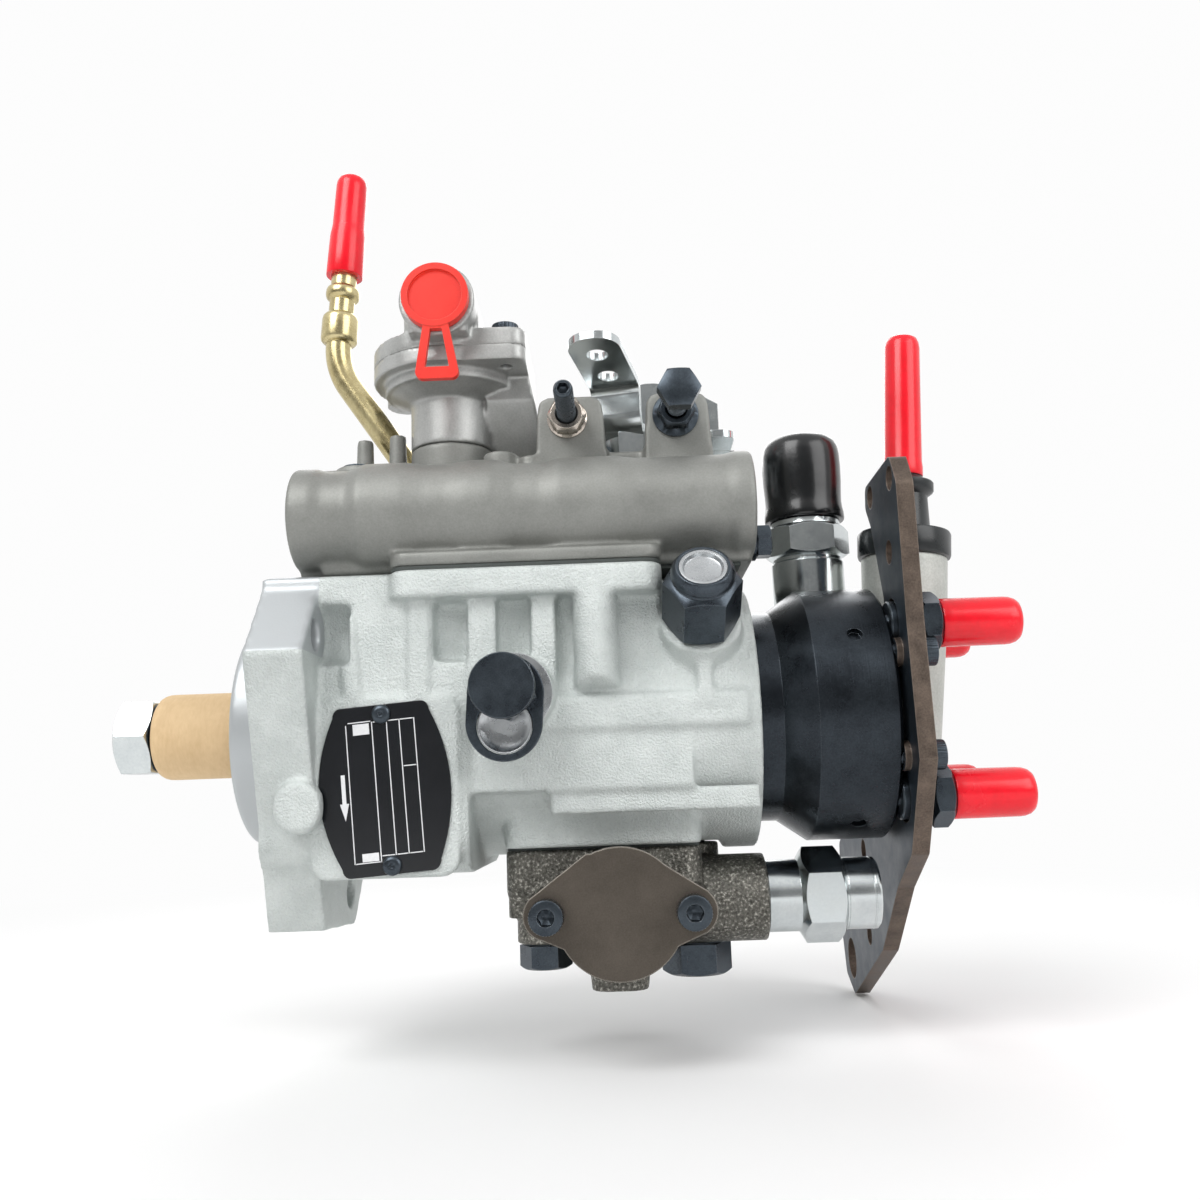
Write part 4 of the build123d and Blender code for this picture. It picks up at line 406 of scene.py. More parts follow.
def buildThreadTree():
    # a ridge wound round the screw, on each seat
    tree, given, result = newTree("screwThread", (("Thread Radius", "NodeSocketFloat", 0.003),
                                                  ("Thread Length", "NodeSocketFloat", 0.01),
                                                  ("Turns", "NodeSocketFloat", 10.0),
                                                  ("Ridge", "NodeSocketFloat", 0.0004),
                                                  ("Finish", "NodeSocketMaterial", None)))
    helix = addNode(tree, "GeometryNodeCurveSpiral", {"Resolution": 24}, {
        "Rotations": given.outputs["Turns"], "Start Radius": given.outputs["Thread Radius"],
        "End Radius": given.outputs["Thread Radius"], "Height": given.outputs["Thread Length"]})
    ridge = addNode(tree, "GeometryNodeCurvePrimitiveCircle", {"Resolution": 4},
                    {"Radius": given.outputs["Ridge"]})
    wound = addNode(tree, "GeometryNodeCurveToMesh", {"Fill Caps": True},
                    {"Curve": helix.outputs["Curve"], "Profile Curve": ridge.outputs["Curve"]})
    copies = setOnSeats(tree, given.outputs["Geometry"], wound.outputs["Mesh"])
    return endTree(tree, copies, given, result)


def buildPipeTree():
    # tube along the host's corners, each rounded to the bending radius
    tree, given, result = newTree("bentPipe", (("Bend Radius", "NodeSocketFloat", 0.02),
                                               ("Pipe Radius", "NodeSocketFloat", 0.004),
                                               ("Steps Round", "NodeSocketInt", 40),
                                               ("Finish", "NodeSocketMaterial", None)))
    line = addNode(tree, "GeometryNodeMeshToCurve", links={"Mesh": given.outputs["Geometry"]})
    bent = addNode(tree, "GeometryNodeFilletCurve", {"mode": "POLY", "Count": 14, "Limit Radius": True},
                   {"Curve": line.outputs["Curve"], "Radius": given.outputs["Bend Radius"]})
    ring = addNode(tree, "GeometryNodeCurvePrimitiveCircle",
                   links={"Resolution": given.outputs["Steps Round"], "Radius": given.outputs["Pipe Radius"]})
    tube = addNode(tree, "GeometryNodeCurveToMesh", {"Fill Caps": True},
                   {"Curve": bent.outputs["Curve"], "Profile Curve": ring.outputs["Curve"]})
    return endTree(tree, tube.outputs["Mesh"], given, result)


turnedTree = buildTurnedTree()
threadTree = buildThreadTree()
pipeTree = buildPipeTree()


# what a host mesh carries: an outline's rings, then the turn of each seat
hostKinds = dict(reach="FLOAT", height="FLOAT", hexed="FLOAT", dipped="FLOAT", knurled="FLOAT",
                 isSeat="BOOLEAN", turn="FLOAT_VECTOR")


def hostMesh(name, outline, seats, closed):
    # outline entries are radius and height in mm, then hexed, dipped and knurled shares
    # seats are place, axis and across
    points = [(r * mm, 0, z * mm) for r, z, *rest in outline]
    points += [tuple(c * mm for c in place) for place, axis, across in seats]
    count = len(outline)
    edges = [(i, i + 1) for i in range(count - 1)] + ([(count - 1, 0)] if closed else [])
    mesh = bpy.data.meshes.new(name)
    mesh.from_pydata(points, edges, [])
    rows = [(r * mm, z * mm, *(list(rest) + [0, 0, 0])[:3], False, (0, 0, 0)) for r, z, *rest in outline]
    rows += [(0, 0, 0, 0, 0, True, tuple(seatTurn(axis, across))) for place, axis, across in seats]
    for column, (label, kind) in enumerate(hostKinds.items()):
        layer = mesh.attributes.new(label, kind, "POINT")
        for number, row in enumerate(rows):
            setattr(layer.data[number], "vector" if kind == "FLOAT_VECTOR" else "value", row[column])
    return mesh


def grow(mesh, tree, inputs):
    # runs a tree on a host mesh and gives the plain mesh back
    host = pieceFrom("host", mesh)
    change = host.modifiers.new("grow", "NODES")
    change.node_group = tree
    ids = {item.name: item.identifier
           for item in tree.interface.items_tree if item.item_type == "SOCKET" and item.in_out == "INPUT"}
    for label, value in inputs.items():
        change[ids[label]] = value
    grown = bpy.data.meshes.new_from_object(host.evaluated_get(bpy.context.evaluated_depsgraph_get()))
    bpy.data.objects.remove(host)
    return grown


def turnedShape(outline, seats, finish, steps=60, knurls=0, knurlDepth=0.0, slope=0.577, closed=False):
    mesh = grow(hostMesh("outline", outline, seats, closed), turnedTree, {
        "Steps Round": steps, "Knurls": knurls, "Knurl Depth": knurlDepth * mm, "Chamfer Slope": slope,
        "Finish": materials[finish]})
    shape = bmesh.new()
    shape.from_mesh(mesh)
    if shape.calc_volume(signed=True) < 0:
        bmesh.ops.reverse_faces(shape, faces=shape.faces)
        shape.to_mesh(mesh)
    shape.free()
    return mesh


def threadShape(seats, finish, radius, length, pitch, ridge):
    return grow(hostMesh("seats", [], seats, False), threadTree, {
        "Thread Radius": radius * mm, "Thread Length": length * mm, "Turns": length / pitch,
        "Ridge": ridge * mm, "Finish": materials[finish]})


def joined(name, meshes):
    # several meshes as one, without the attributes that only the trees needed
    shape = bmesh.new()
    for mesh in meshes:
        shape.from_mesh(mesh)
    together = bpy.data.meshes.new(name)
    shape.to_mesh(together)
    shape.free()
    spare = [layer.name for layer in together.attributes if layer.name in (*hostKinds, "angle")]
    for layer in spare:
        together.attributes.remove(together.attributes[layer])
    return pieceFrom(name, together)


def turnedPiece(name, outline, seats, finish, stands=(), body="pump", sharp=35, **shaping):
    # one outline on its seats, in one finish
    return finishPiece(joined(name, [turnedShape(outline, seats, finish, **shaping)]), finish, stands, body,
                       sharp)


def plateShape(outlines, face, thickness, bevel):
    # flat plate facing the near side, from closed outlines (the outside, then holes), edges bevelled
    flat = bpy.data.curves.new("plate", "CURVE")
    flat.dimensions = "2D"
    flat.fill_mode = "BOTH"
    flat.extrude = (thickness / 2 - bevel) * mm
    flat.bevel_depth = bevel * mm
    flat.offset = -bevel * mm
    flat.bevel_resolution = 2
    for outline in outlines:
        line = flat.splines.new("POLY")
        line.points.add(len(outline) - 1)
        for point, (x, z) in zip(line.points, outline):
            point.co = (x * mm, z * mm, 0, 1)
        line.use_cyclic_u = True
    holder = pieceFrom("plate", flat)
    mesh = bpy.data.meshes.new_from_object(holder.evaluated_get(bpy.context.evaluated_depsgraph_get()))
    bpy.data.objects.remove(holder)
    mesh.transform(Matrix(((1, 0, 0, 0), (0, 0, -1, (face - thickness / 2) * mm), (0, 1, 0, 0),
                           (0, 0, 0, 1))))
    return mesh


def arc(x, z, radius, start, end, steps):
    # points on an arc, angles in degrees
    return [(x + radius * cos(radians(start + (end - start) * i / steps)),
             z + radius * sin(radians(start + (end - start) * i / steps))) for i in range(steps + 1)]


# outlines in mm from the seat up: radius, height, hexed, dipped, knurled
def socketHead(radius, head, socket, deep, shank, length, rim=0.5):
    # cap screw: knurled wall, rounded rim, hexagon socket with a drilled floor, plain shank below
    flat = socket / 2
    return [(0, -length), (shank * 0.8, -length), (shank, -length + 0.4), (shank, 0), (radius * 0.96, 0),
            (radius, 0.35, 0, 0, 1), (radius, head - rim, 0, 0, 1), (radius - rim * 0.3, head - rim * 0.3),
            (radius - rim, head), (flat * 1.17, head), (flat, head - 0.35, 1), (flat, head - deep, 1),
            (flat * 0.5, head - deep - 0.5), (0, head - deep - 0.8)]


def hexHead(flats, head, shank, length, disc=0.94):
    # hexagon head: washer face below, turned chamfer above that dips at the corners
    flat = flats / 2
    return [(0, -length), (shank * 0.8, -length), (shank, -length + 0.5), (shank, 0), (flat * 0.95, 0),
            (flat * 0.95, 0.3), (flat, 0.35, 1, -0.3), (flat, head - (1 - disc) * flat * 0.577, 1, 1),
            (flat * disc, head), (0, head)]


def hexNut(flats, size, bore, disc=0.94):
    # nut: chamfered on both faces, countersunk bore; a closed outline
    flat = flats / 2
    return [(bore, 0.5), (bore + 0.5, 0), (flat * disc, 0), (flat, (1 - disc) * flat * 0.577, 1, -1),
            (flat, size - (1 - disc) * flat * 0.577, 1, 1), (flat * disc, size), (bore + 0.5, size),
            (bore, size - 0.5)]


# castings: a softened copy of the solid, with the rounded corners a mould leaves
castings = {
    "pump_housing": dict(voxel=0.85, soften=6),
    "governor_cover": dict(voxel=0.8, soften=5),
    "advance_body": dict(voxel=0.7, soften=3),
    "end_plate": dict(voxel=0.7, soften=2),
    "boost_body": dict(voxel=0.6, soften=2),
    "boost_cover": dict(voxel=0.6, soften=2),
}
triangleLimit = 180000


def softCasting(name, voxel, soften):
    mesh = nodes[name].data.copy()
    shape = bmesh.new()
    shape.from_mesh(mesh)
    bmesh.ops.remove_doubles(shape, verts=shape.verts, dist=0.01 * mm)
    shape.to_mesh(mesh)
    shape.free()
    piece = pieceFrom(name.replace("_", " ").title().replace(" ", "") + "Cast", mesh)
    remesh = piece.modifiers.new("mould", "REMESH")
    remesh.mode = "VOXEL"
    remesh.voxel_size = voxel * mm
    smooth = piece.modifiers.new("soften", "SMOOTH")
    smooth.factor = 0.5
    smooth.iterations = soften
    count = len(piece.evaluated_get(bpy.context.evaluated_depsgraph_get()).data.polygons) * 2
    if count > triangleLimit:
        thin = piece.modifiers.new("thin", "DECIMATE")
        thin.ratio = triangleLimit / count
    piece.data = bpy.data.meshes.new_from_object(piece.evaluated_get(bpy.context.evaluated_depsgraph_get()))
    piece.modifiers.clear()
    finishPiece(piece, slotOf[name], (name,), sharp=60)


for name, sizes in castings.items():
    softCasting(name, **sizes)

# fasteners
coverTop, coverBottom = 75.5, 42.5
plateFace = -42.3
nearSide, up, driveSide = (0, -1, 0), (0, 0, 1), (1, 0, 0)
screwHeight = coverTop + 15.0
idleX, speedX = 120.4, 87.5

coverScrew = dict(radius=5.0, head=6.0, socket=5.0, deep=3.6, shank=3.0, length=35.5, knurls=36,
                  knurlDepth=0.22)
# across, along and how far the head is sunk
coverScrewsAt = [(24, -24, 5.2), (24, 24, 0), (70, 26, 0), (122, 26, 0)]
endScrew = dict(flats=9.0, head=4.6, shank=3.0, length=8.0)
coverHead = socketHead(*(coverScrew[part]
                         for part in ("radius", "head", "socket", "deep", "shank", "length")))
coverSeats = [((x, y, coverTop + 1.5 - sunk), up, driveSide) for x, y, sunk in coverScrewsAt]
coverTopScrews = turnedShape(coverHead, coverSeats, "black_oxide_steel", 144, coverScrew["knurls"],
                             coverScrew["knurlDepth"])
coverEndScrew = turnedShape(hexHead(**endScrew), [((142.2, -24, coverBottom + 7.5), driveSide, (0, 1, 0))],
                            "black_oxide_steel")
coverEndWasher = turnedShape([(3.0, 0), (5.3, 0), (5.6, 0.3), (5.6, 0.9), (5.3, 1.2), (3.0, 1.2)],
                             [((141.0, -24, coverBottom + 7.5), driveSide, (0, 1, 0))], "black_oxide_steel",
                             closed=True)
finishPiece(joined("coverScrews", [coverTopScrews, coverEndScrew, coverEndWasher]), "black_oxide_steel",
            ("cover_screws",))

# low idle screw: hexagon head, threaded as far as its flanged nut
idleScrew = dict(flats=11.0, head=5.0, shank=2.7, length=38.4)
idleSeat = [((idleX, -44, screwHeight), nearSide, driveSide)]
idleBody = turnedShape(hexHead(**idleScrew), idleSeat, "black_oxide_steel")
idleThread = threadShape([((idleX, -31.0, screwHeight), nearSide, driveSide)], "black_oxide_steel",
                         2.78, 12.6, 1.0, 0.14)
finishPiece(joined("lowIdleScrew", [idleBody, idleThread]), "black_oxide_steel", ("low_idle_screw",))

# maximum speed screw: threaded stud with a hexagon socket in its end
speedStud = [(0, -49.9), (2.2, -49.9), (2.6, -49.4), (2.7, -0.5), (2.3, 0), (1.75, 0), (1.5, -0.25, 1),
             (1.5, -3.0, 1), (0, -3.6)]
studBody = turnedShape(speedStud, [((speedX, -51, screwHeight), nearSide, driveSide)], "black_oxide_steel")
studThread = threadShape([((speedX, -29.5, screwHeight), nearSide, driveSide)], "black_oxide_steel",
                         2.8, 20.4, 0.8, 0.06)
finishPiece(joined("maxSpeedScrew", [studBody, studThread]), "black_oxide_steel", ("max_speed_screw",))

# their flanged lock nuts, one black and one bright
nutSeat = -24
idleNut = [(3.0, 0.4), (3.3, 0), (6.8, 0), (7.0, 0.3), (7.0, 0.9), (5.6, 1.7), (5.0, 2.0, 1, -0.4),
           (5.0, 6.0, 1, 1), (4.7, 6.4), (3.5, 6.4), (3.0, 5.9)]
turnedPiece("idleNut", idleNut, [((idleX, nutSeat, screwHeight), nearSide, driveSide)], "black_oxide_steel",
            ("stop_screw_nuts",), closed=True)
speedNut = [(3.0, 0.3), (3.3, 0), (5.9, 0), (6.1, 0.2), (6.1, 0.8), (5.4, 1.2), (5.1, 1.6, 1, -0.5),
            (5.1, 5.6, 1, 1), (4.7, 6.0), (3.5, 6.0), (3.0, 5.5)]
turnedPiece("speedNut", speedNut, [((speedX, nutSeat, screwHeight), nearSide, driveSide)],
            "nickel_plated_steel", closed=True)

# boost control's three screws
boostLid = coverTop + 13.2 + 22.2 + 4.9
boostScrewsAt = [(68.5, -16.5), (68.5, 16.5), (30.0, 18.5)]
boostSeats = [((x, y, boostLid + 5.4), up, driveSide) for x, y in boostScrewsAt]
turnedPiece("boostScrews", socketHead(4.25, 3.4, 3.0, 2.0, 2.0, 9.0, 0.4), boostSeats, "black_oxide_steel",
            ("boost_screws",), steps=120, knurls=30, knurlDepth=0.18)

# three screws hold the bracket to the head
bracketScrewsAt = [(-32.3, 14.6), (-32.3, -14.6), (32.3, -14.6)]
bracketSeats = [((185.5, y, z), driveSide, (0, 1, 0)) for y, z in bracketScrewsAt]
turnedPiece("bracketScrews", socketHead(4.25, 5.0, 4.0, 2.8, 2.5, 18.0), bracketSeats, "black_oxide_steel",
            ("bracket_screws",), steps=120, knurls=30, knurlDepth=0.22)

# advance unit: two screws on its cover plate, two bolts from below
plateScrewsAt = [(78.8, -53.6), (117.7, -53.6)]
plateSeats = [((x, -45.5, z), nearSide, driveSide) for x, z in plateScrewsAt]
plateScrews = turnedShape(socketHead(4.7, 5.4, 4.0, 3.0, 2.5, 14.0, 0.6), plateSeats, "black_oxide_steel",
                          136, 34, 0.24)
nearBolt = turnedShape(hexHead(13, 7.0, 4.0, 30.9), [((76.5, -18.0, -63.4), (0, 0, -1), driveSide)],
                       "black_oxide_steel")
middleBolt = turnedShape(hexHead(18, 9.5, 4.0, 42.3), [((120.5, 0.0, -66.3), (0, 0, -1), driveSide)],
                         "black_oxide_steel")
finishPiece(joined("advanceBolts", [plateScrews, nearBolt, middleBolt]), "black_oxide_steel",
            ("advance_bolts",))

# lock bolt: hexagon under a round turned face as wide as its corners
lockHead = [(0, -12.4), (4.0, -12.4), (5.0, -11.9), (5.0, 0), (7.6, 0), (7.6, 0.3), (8.0, 0.35, 1, -0.3),
            (8.0, 6.3, 1, 1), (8.5, 6.6), (8.8, 6.9), (8.8, 9.0), (8.6, 9.3), (0, 9.3)]
lockSeat = [((69.4, -50.3, 6.7), nearSide, (0.94, 0, -0.34))]
turnedPiece("lockBolt", lockHead, lockSeat, "black_oxide_steel", ("lock_bolt",), steps=84)

# nameplate's screws: low domes with a small socket
rivetsAt = [(34.3, 1.6), (37.3, -39.3)]
rivetDome = [(0, -4.1), (1.2, -4.1), (1.25, -3.9), (1.25, 0), (2.6, 0), (2.7, 0.15), (2.62, 0.5), (2.2, 0.95),
             (1.5, 1.15), (0.9, 1.18), (0.62, 1.1, 1), (0.62, 0.35, 1), (0, 0.2)]
rivetSeats = [((x, plateFace, z), nearSide, driveSide) for x, z in rivetsAt]
turnedPiece("nameplateScrews", rivetDome, rivetSeats, "black_oxide_steel", ("nameplate_rivets",), steps=48)
print("fasteners made")

# fittings turned from hexagon bar
# shaft nut with the dark washer between it and the sleeve
shaftNut = dict(flats=22.0, size=11.8, bore=7.05, disc=0.93)
washerOutline = [(shaftNut["bore"], -42.7), (11.0, -42.7), (11.3, -42.4), (11.3, -41.0),
                 (shaftNut["bore"], -41.0)]
shaftSeat = [((0, 0, 0), driveSide, (0, 1, 0))]
turnedPiece("shaftNut", hexNut(**shaftNut), [((-54.5, 0, 0), driveSide, (0, 1, 0))], "zinc_plated_steel",
            ("shaft_nut",), "drive", steps=84, closed=True)
turnedPiece("shaftWasher", washerOutline, shaftSeat, "black_oxide_steel", (), "drive", steps=72, closed=True)

# kraft sleeve that keeps the shaft's taper clean; its outer end is pressed in round the edge
sleeve = dict(start=-42.4, end=-11.6, radius=13.25, bore=12.6, pressed=2.6)
sleeveOutline = [(sleeve["bore"], sleeve["end"]), (sleeve["bore"], sleeve["start"] + 1.4),
                 (sleeve["bore"] - 1.2, sleeve["start"] + 0.4), (sleeve["bore"] - 1.2, sleeve["start"]),
                 (11.7, sleeve["start"] + 0.05), (12.4, sleeve["start"] + 0.6), (12.9, sleeve["start"] + 1.5),
                 (13.18, sleeve["start"] + sleeve["pressed"]), (sleeve["radius"], sleeve["start"] + 4.2),
                 (sleeve["radius"], -30), (sleeve["radius"], -20), (sleeve["radius"], sleeve["end"] - 0.1),
                 (sleeve["radius"] - 0.1, sleeve["end"])]
turnedPiece("shaftSleeve", sleeveOutline, shaftSeat, "kraft_card", ("shaft_sleeve",), "drive", 50, steps=96,
            closed=True)

# delivery valve holders
outletAngles, outletRadius = (47.5, 137.5, 227.5, 317.5), 34.8
outlets = [(outletRadius * cos(radians(a)), outletRadius * sin(radians(a))) for a in outletAngles]
cornerUp = (0, cos(pi / 6), sin(pi / 6))
outletSeats = [((0, y, z), driveSide, cornerUp) for y, z in outlets]
holder = dict(start=187.2, end=193.4, flat=8.1)
holderOutline = [(0, 171.2), (2.9, 171.2), (3.0, 171.4), (3.0, 178.7), (6.4, 178.7), (6.8, 179.1),
                 (6.8, holder["start"] - 0.4), (7.5, holder["start"]),
                 (holder["flat"], holder["start"] + 0.4, 1, -1), (holder["flat"], holder["end"] - 0.4, 1, 1),
                 (7.5, holder["end"]), (5.9, holder["end"]), (5.9, 208), (5, 209), (0, 209)]
turnedPiece("deliveryHolders", holderOutline, outletSeats, "black_oxide_steel", ("delivery_holders",),
            steps=72)

# stop solenoid: cylinder, hexagon with turned chamfers, neck under the cap
solenoid = dict(place=(163.5, 12.0, 0), hexLow=51.4, hexHigh=61.8, radius=11.6, flat=12.2)
solenoidSeat = [(solenoid["place"], up, driveSide)]
solenoidOutline = [(0, 24), (5.5, 24), (5.9, 24.4), (5.9, 36), (11.3, 36), (solenoid["radius"], 36.3),
                   (solenoid["radius"], 49.6), (11.1, 50.2), (11.1, 51.1),
                   (solenoid["radius"], solenoid["hexLow"]),
                   (solenoid["flat"], solenoid["hexLow"] + 0.5, 1, -1),
                   (solenoid["flat"], solenoid["hexHigh"] - 0.5, 1, 1), (11.5, solenoid["hexHigh"]),
                   (11.4, 62.2), (11.4, 63.4), (11.1, 63.6), (9, 63.7), (9, 84), (0, 84)]
turnedPiece("stopSolenoid", solenoidOutline, solenoidSeat, "zinc_plated_steel", ("stop_solenoid",), steps=84)
# its vinyl cap: a dipped shape, a little slack above the rim
solenoidCap = [(0, 84.2), (9.1, 84.2), (9.1, 63.8), (12.5, 63.8), (12.85, 64.1), (12.95, 64.8), (12.9, 66.2),
               (12.55, 68.0), (12.35, 70.0), (12.45, 73.0), (12.7, 77.0), (12.8, 82.0), (12.7, 86.0),
               (12.35, 88.4), (11.6, 90.1), (10.3, 91.4), (8.6, 92.2), (6.0, 92.65), (3.0, 92.85), (0, 92.9)]
turnedPiece("solenoidCap", solenoidCap, solenoidSeat, "black_vinyl", ("solenoid_cap",), sharp=60, steps=96)

# fuel inlet: ring over the tower, then the stem that the cap covers
inletLean = radians(4)
inletAxis = (sin(inletLean), 0, cos(inletLean))
inletSeat = [((194.0, 7.2, 50.0), inletAxis, (1, 0, 0))]
connector = [(0, -8), (4.95, -8), (4.95, -1.4), (12.6, -1.4), (14.4, -0.6), (14.7, 0.2), (14.8, 6.8),
             (14.4, 7.6), (13.4, 7.9), (8.6, 8.0), (8.4, 8.4), (7.6, 20), (9.3, 21.3), (9.6, 21.8),
             (9.6, 24.2), (9.3, 24.6), (7.0, 25.4), (5.0, 28.0), (4.6, 33), (0, 33)]
turnedPiece("inletConnector", connector, inletSeat, "dark_green_plastic", ("inlet_connector",), steps=84)

# pressure plug on the advance unit's side
plugOutline = [(0, 129), (7.6, 129), (8, 129.4), (8, 141), (10.1, 141), (10.4, 141.3), (10.4, 150.5),
               (11.2, 151.0), (12, 151.5, 1, -1), (12, 162.9, 1, 1), (11.3, 163.4), (10.2, 163.5),
               (10.2, 164.1), (10.4, 164.3), (10.4, 171.4), (10.2, 171.5), (10.2, 171.9), (10.4, 172.0),
               (10.4, 173.0), (9.8, 173.6), (0, 173.6)]
plugSeat = [((0, -8.0, -53.5), driveSide, cornerUp)]
turnedPiece("advanceSidePlug", plugOutline, plugSeat, "zinc_plated_steel", ("advance_side_plug",), steps=84)

# fuel return pipe, bent from tube, with its two collars
pipe = dict(bends=[(33.2, 12.0, 77.0), (33.2, 12.0, 86.6), (8.0, 12.0, 124.0), (11.2, 12.0, 166.0)],
            radius=4.3, bend=24.0)
pipeHost = bpy.data.meshes.new("pipeHost")
pipeHost.from_pydata([tuple(c * mm for c in corner) for corner in pipe["bends"]], [(0, 1), (1, 2), (2, 3)],
                     [])
pipeTube = grow(pipeHost, pipeTree, {"Bend Radius": pipe["bend"] * mm, "Pipe Radius": pipe["radius"] * mm,
                                     "Steps Round": 48, "Finish": materials["yellow_zinc_steel"]})
pipeAxis = tuple(Vector(pipe["bends"][3]) - Vector(pipe["bends"][2]))
pipeSeat = [(pipe["bends"][2], pipeAxis, (1, 0, 0))]
lowCollar = [(4.1, 8.8), (5.4, 9.0), (6.0, 9.6), (6.2, 10.6), (6.2, 17.2), (6.0, 18.2), (5.4, 19.0),
             (4.9, 19.4), (4.1, 19.6)]
highCollar = [(4.1, 24.2), (4.7, 24.5), (5.4, 25.1), (5.7, 26.0), (5.75, 26.9), (5.7, 27.8), (5.4, 28.6),
              (4.7, 29.2), (4.1, 29.6)]
finishPiece(joined("returnPipe", [pipeTube,
                                  turnedShape(lowCollar, pipeSeat, "yellow_zinc_steel", 60, closed=True),
                                  turnedShape(highCollar, pipeSeat, "yellow_zinc_steel", 60, closed=True)]),
            "yellow_zinc_steel", ("return_pipe",), sharp=50)

# red dip caps on the outlets, the inlet and the return pipe
outletCap = [(0, 210), (5.95, 210), (5.95, 193.8), (6.95, 193.8), (7.1, 194.1), (7.1, 196.0), (7.05, 205),
             (7.0, 212.6), (6.85, 214.2), (6.4, 215.6), (5.6, 216.6), (4.4, 217.1), (2.6, 217.4), (0, 217.5)]
inletCap = [(0, 33.4), (5.1, 33.4), (5.1, 26.8), (6.2, 26.8), (6.3, 27.1), (6.3, 30.0), (6.05, 32.0),
            (5.9, 50.0), (5.75, 71.0), (5.5, 72.8), (4.9, 74.2), (3.8, 74.9), (2.0, 75.3), (0, 75.4)]
pipeCap = [(0, 42.8), (4.35, 42.8), (4.35, 33.4), (6.1, 33.4), (6.2, 33.7), (6.15, 41.0), (6.0, 48.0),
           (5.7, 50.4), (5.5, 52.0), (5.4, 60.0), (5.35, 66.6), (5.15, 68.3), (4.6, 69.5), (3.6, 70.4),
           (2.0, 70.8), (0, 70.9)]
finishPiece(joined("transitCaps", [turnedShape(outletCap, outletSeats, "red_vinyl", 72),
                                   turnedShape(inletCap, inletSeat, "red_vinyl", 72),
                                   turnedShape(pipeCap, pipeSeat, "red_vinyl", 72)]), "red_vinyl",
            ("transit_caps",), sharp=50)

# vent fitting on its sloping boss, with a bright disc crimped into its end
vent = dict(x=124.0, tilt=34.0, reach=39)
ventAxis = (0, -cos(radians(vent["tilt"])), sin(radians(vent["tilt"])))
ventSeat = [((vent["x"], vent["reach"] * ventAxis[1], vent["reach"] * ventAxis[2]), ventAxis, driveSide)]
ventOutline = [(0, -2.5), (5.0, -2.5), (5.0, 6.0), (8.9, 6.0), (9.6, 6.5, 1, -1), (9.6, 22.2, 1, 1),
               (8.9, 22.9), (8.5, 23.0), (8.3, 23.5), (8.8, 24.1), (8.8, 25.6), (7.9, 27.1), (7.4, 27.5),
               (6.75, 27.5), (6.6, 27.3), (6.6, 25.5), (0, 25.5)]
turnedPiece("ventFitting", ventOutline, ventSeat, "black_oxide_steel", ("vent_fitting",), steps=84)
ventDisc = [(0, 25.45), (6.55, 25.45), (6.55, 27.35), (6.1, 27.45), (5.6, 27.3), (5.3, 26.6), (5.1, 26.1),
            (4.7, 25.95), (0, 26.0)]
turnedPiece("ventDisc", ventDisc, ventSeat, "machined_aluminium", steps=72)
print("fittings made")

# machined faces on the castings, thin skins just proud of them
lockFace = -48.5
spotFace = [(0, -0.6), (11.1, -0.6), (11.1, 0.0), (10.8, 0.06), (0, 0.06)]
boreMouth = [(0, -0.6), (7.4, -0.6), (7.4, 1.3), (7.0, 1.4), (6.4, 0.8), (5.2, 0.3), (3.0, 0.12), (0, 0.1)]
boltFace = turnedShape(spotFace, [((71.0, lockFace, 5.5), nearSide, driveSide)], "machined_aluminium", 96)
boreFace = turnedShape(boreMouth, [((69.1, lockFace, -3.4), nearSide, driveSide)], "machined_aluminium", 96)
finishPiece(joined("lockSpotFace", [boltFace, boreFace]), "machined_aluminium")

# keyhole washer that locks the shaft for transport
keyhole = dict(x=69.5, z=5.5, face=lockFace, thickness=1.8, radius=10.4, drop=8.0, aside=-0.5, hole=7.6)
washerRim = arc(keyhole["x"], keyhole["z"], keyhole["radius"], 0, 180, 40)
washerRim += arc(keyhole["x"] + keyhole["aside"], keyhole["z"] - keyhole["drop"], keyhole["radius"],
                 180, 360, 40)
washerHole = arc(keyhole["x"] - 0.4, keyhole["z"] - 8.9, keyhole["hole"], 0, 350, 48)
finishPiece(joined("keyholeWasher",
                   [plateShape([washerRim, washerHole], keyhole["face"], keyhole["thickness"], 0.3)]),
            "black_oxide_steel", ("keyhole_washer",))

# nameplate: barrel-sided sheet, set at a slight angle
plateLook = dict(middle=(35.6, -18.7), face=-41.7, sheet=0.6, turn=4.2, halfHeight=23.0, halfTop=12.6,
                 bulge=(5.0, 4.4), corner=2.6)


def onPlate(x, z):
    # plate coordinates to the housing's, with the plate's lean
    lean = radians(plateLook["turn"])
    return (plateLook["middle"][0] + x * cos(lean) - z * sin(lean),
            plateLook["middle"][1] + x * sin(lean) + z * cos(lean))


def barrelSide(side, bulge):
    # bulging side from bottom to top
    reach = plateLook["halfHeight"] - plateLook["corner"]
    straight = plateLook["halfTop"] + plateLook["corner"] * 0.3
    return [(side * (straight + bulge * (1 - (step / 10) ** 2)), reach * step / 10)
            for step in range(-10, 11)]


def cornerPoint(side, end, angle):
    # point on a rounded corner, angle in degrees up from the side
    turn = radians(angle)
    across = plateLook["halfTop"] + plateLook["corner"] * 0.3 - plateLook["corner"] * 0.86 * (1 - cos(turn))
    return (side * across,
            end * (plateLook["halfHeight"] - plateLook["corner"] + plateLook["corner"] * sin(turn)))


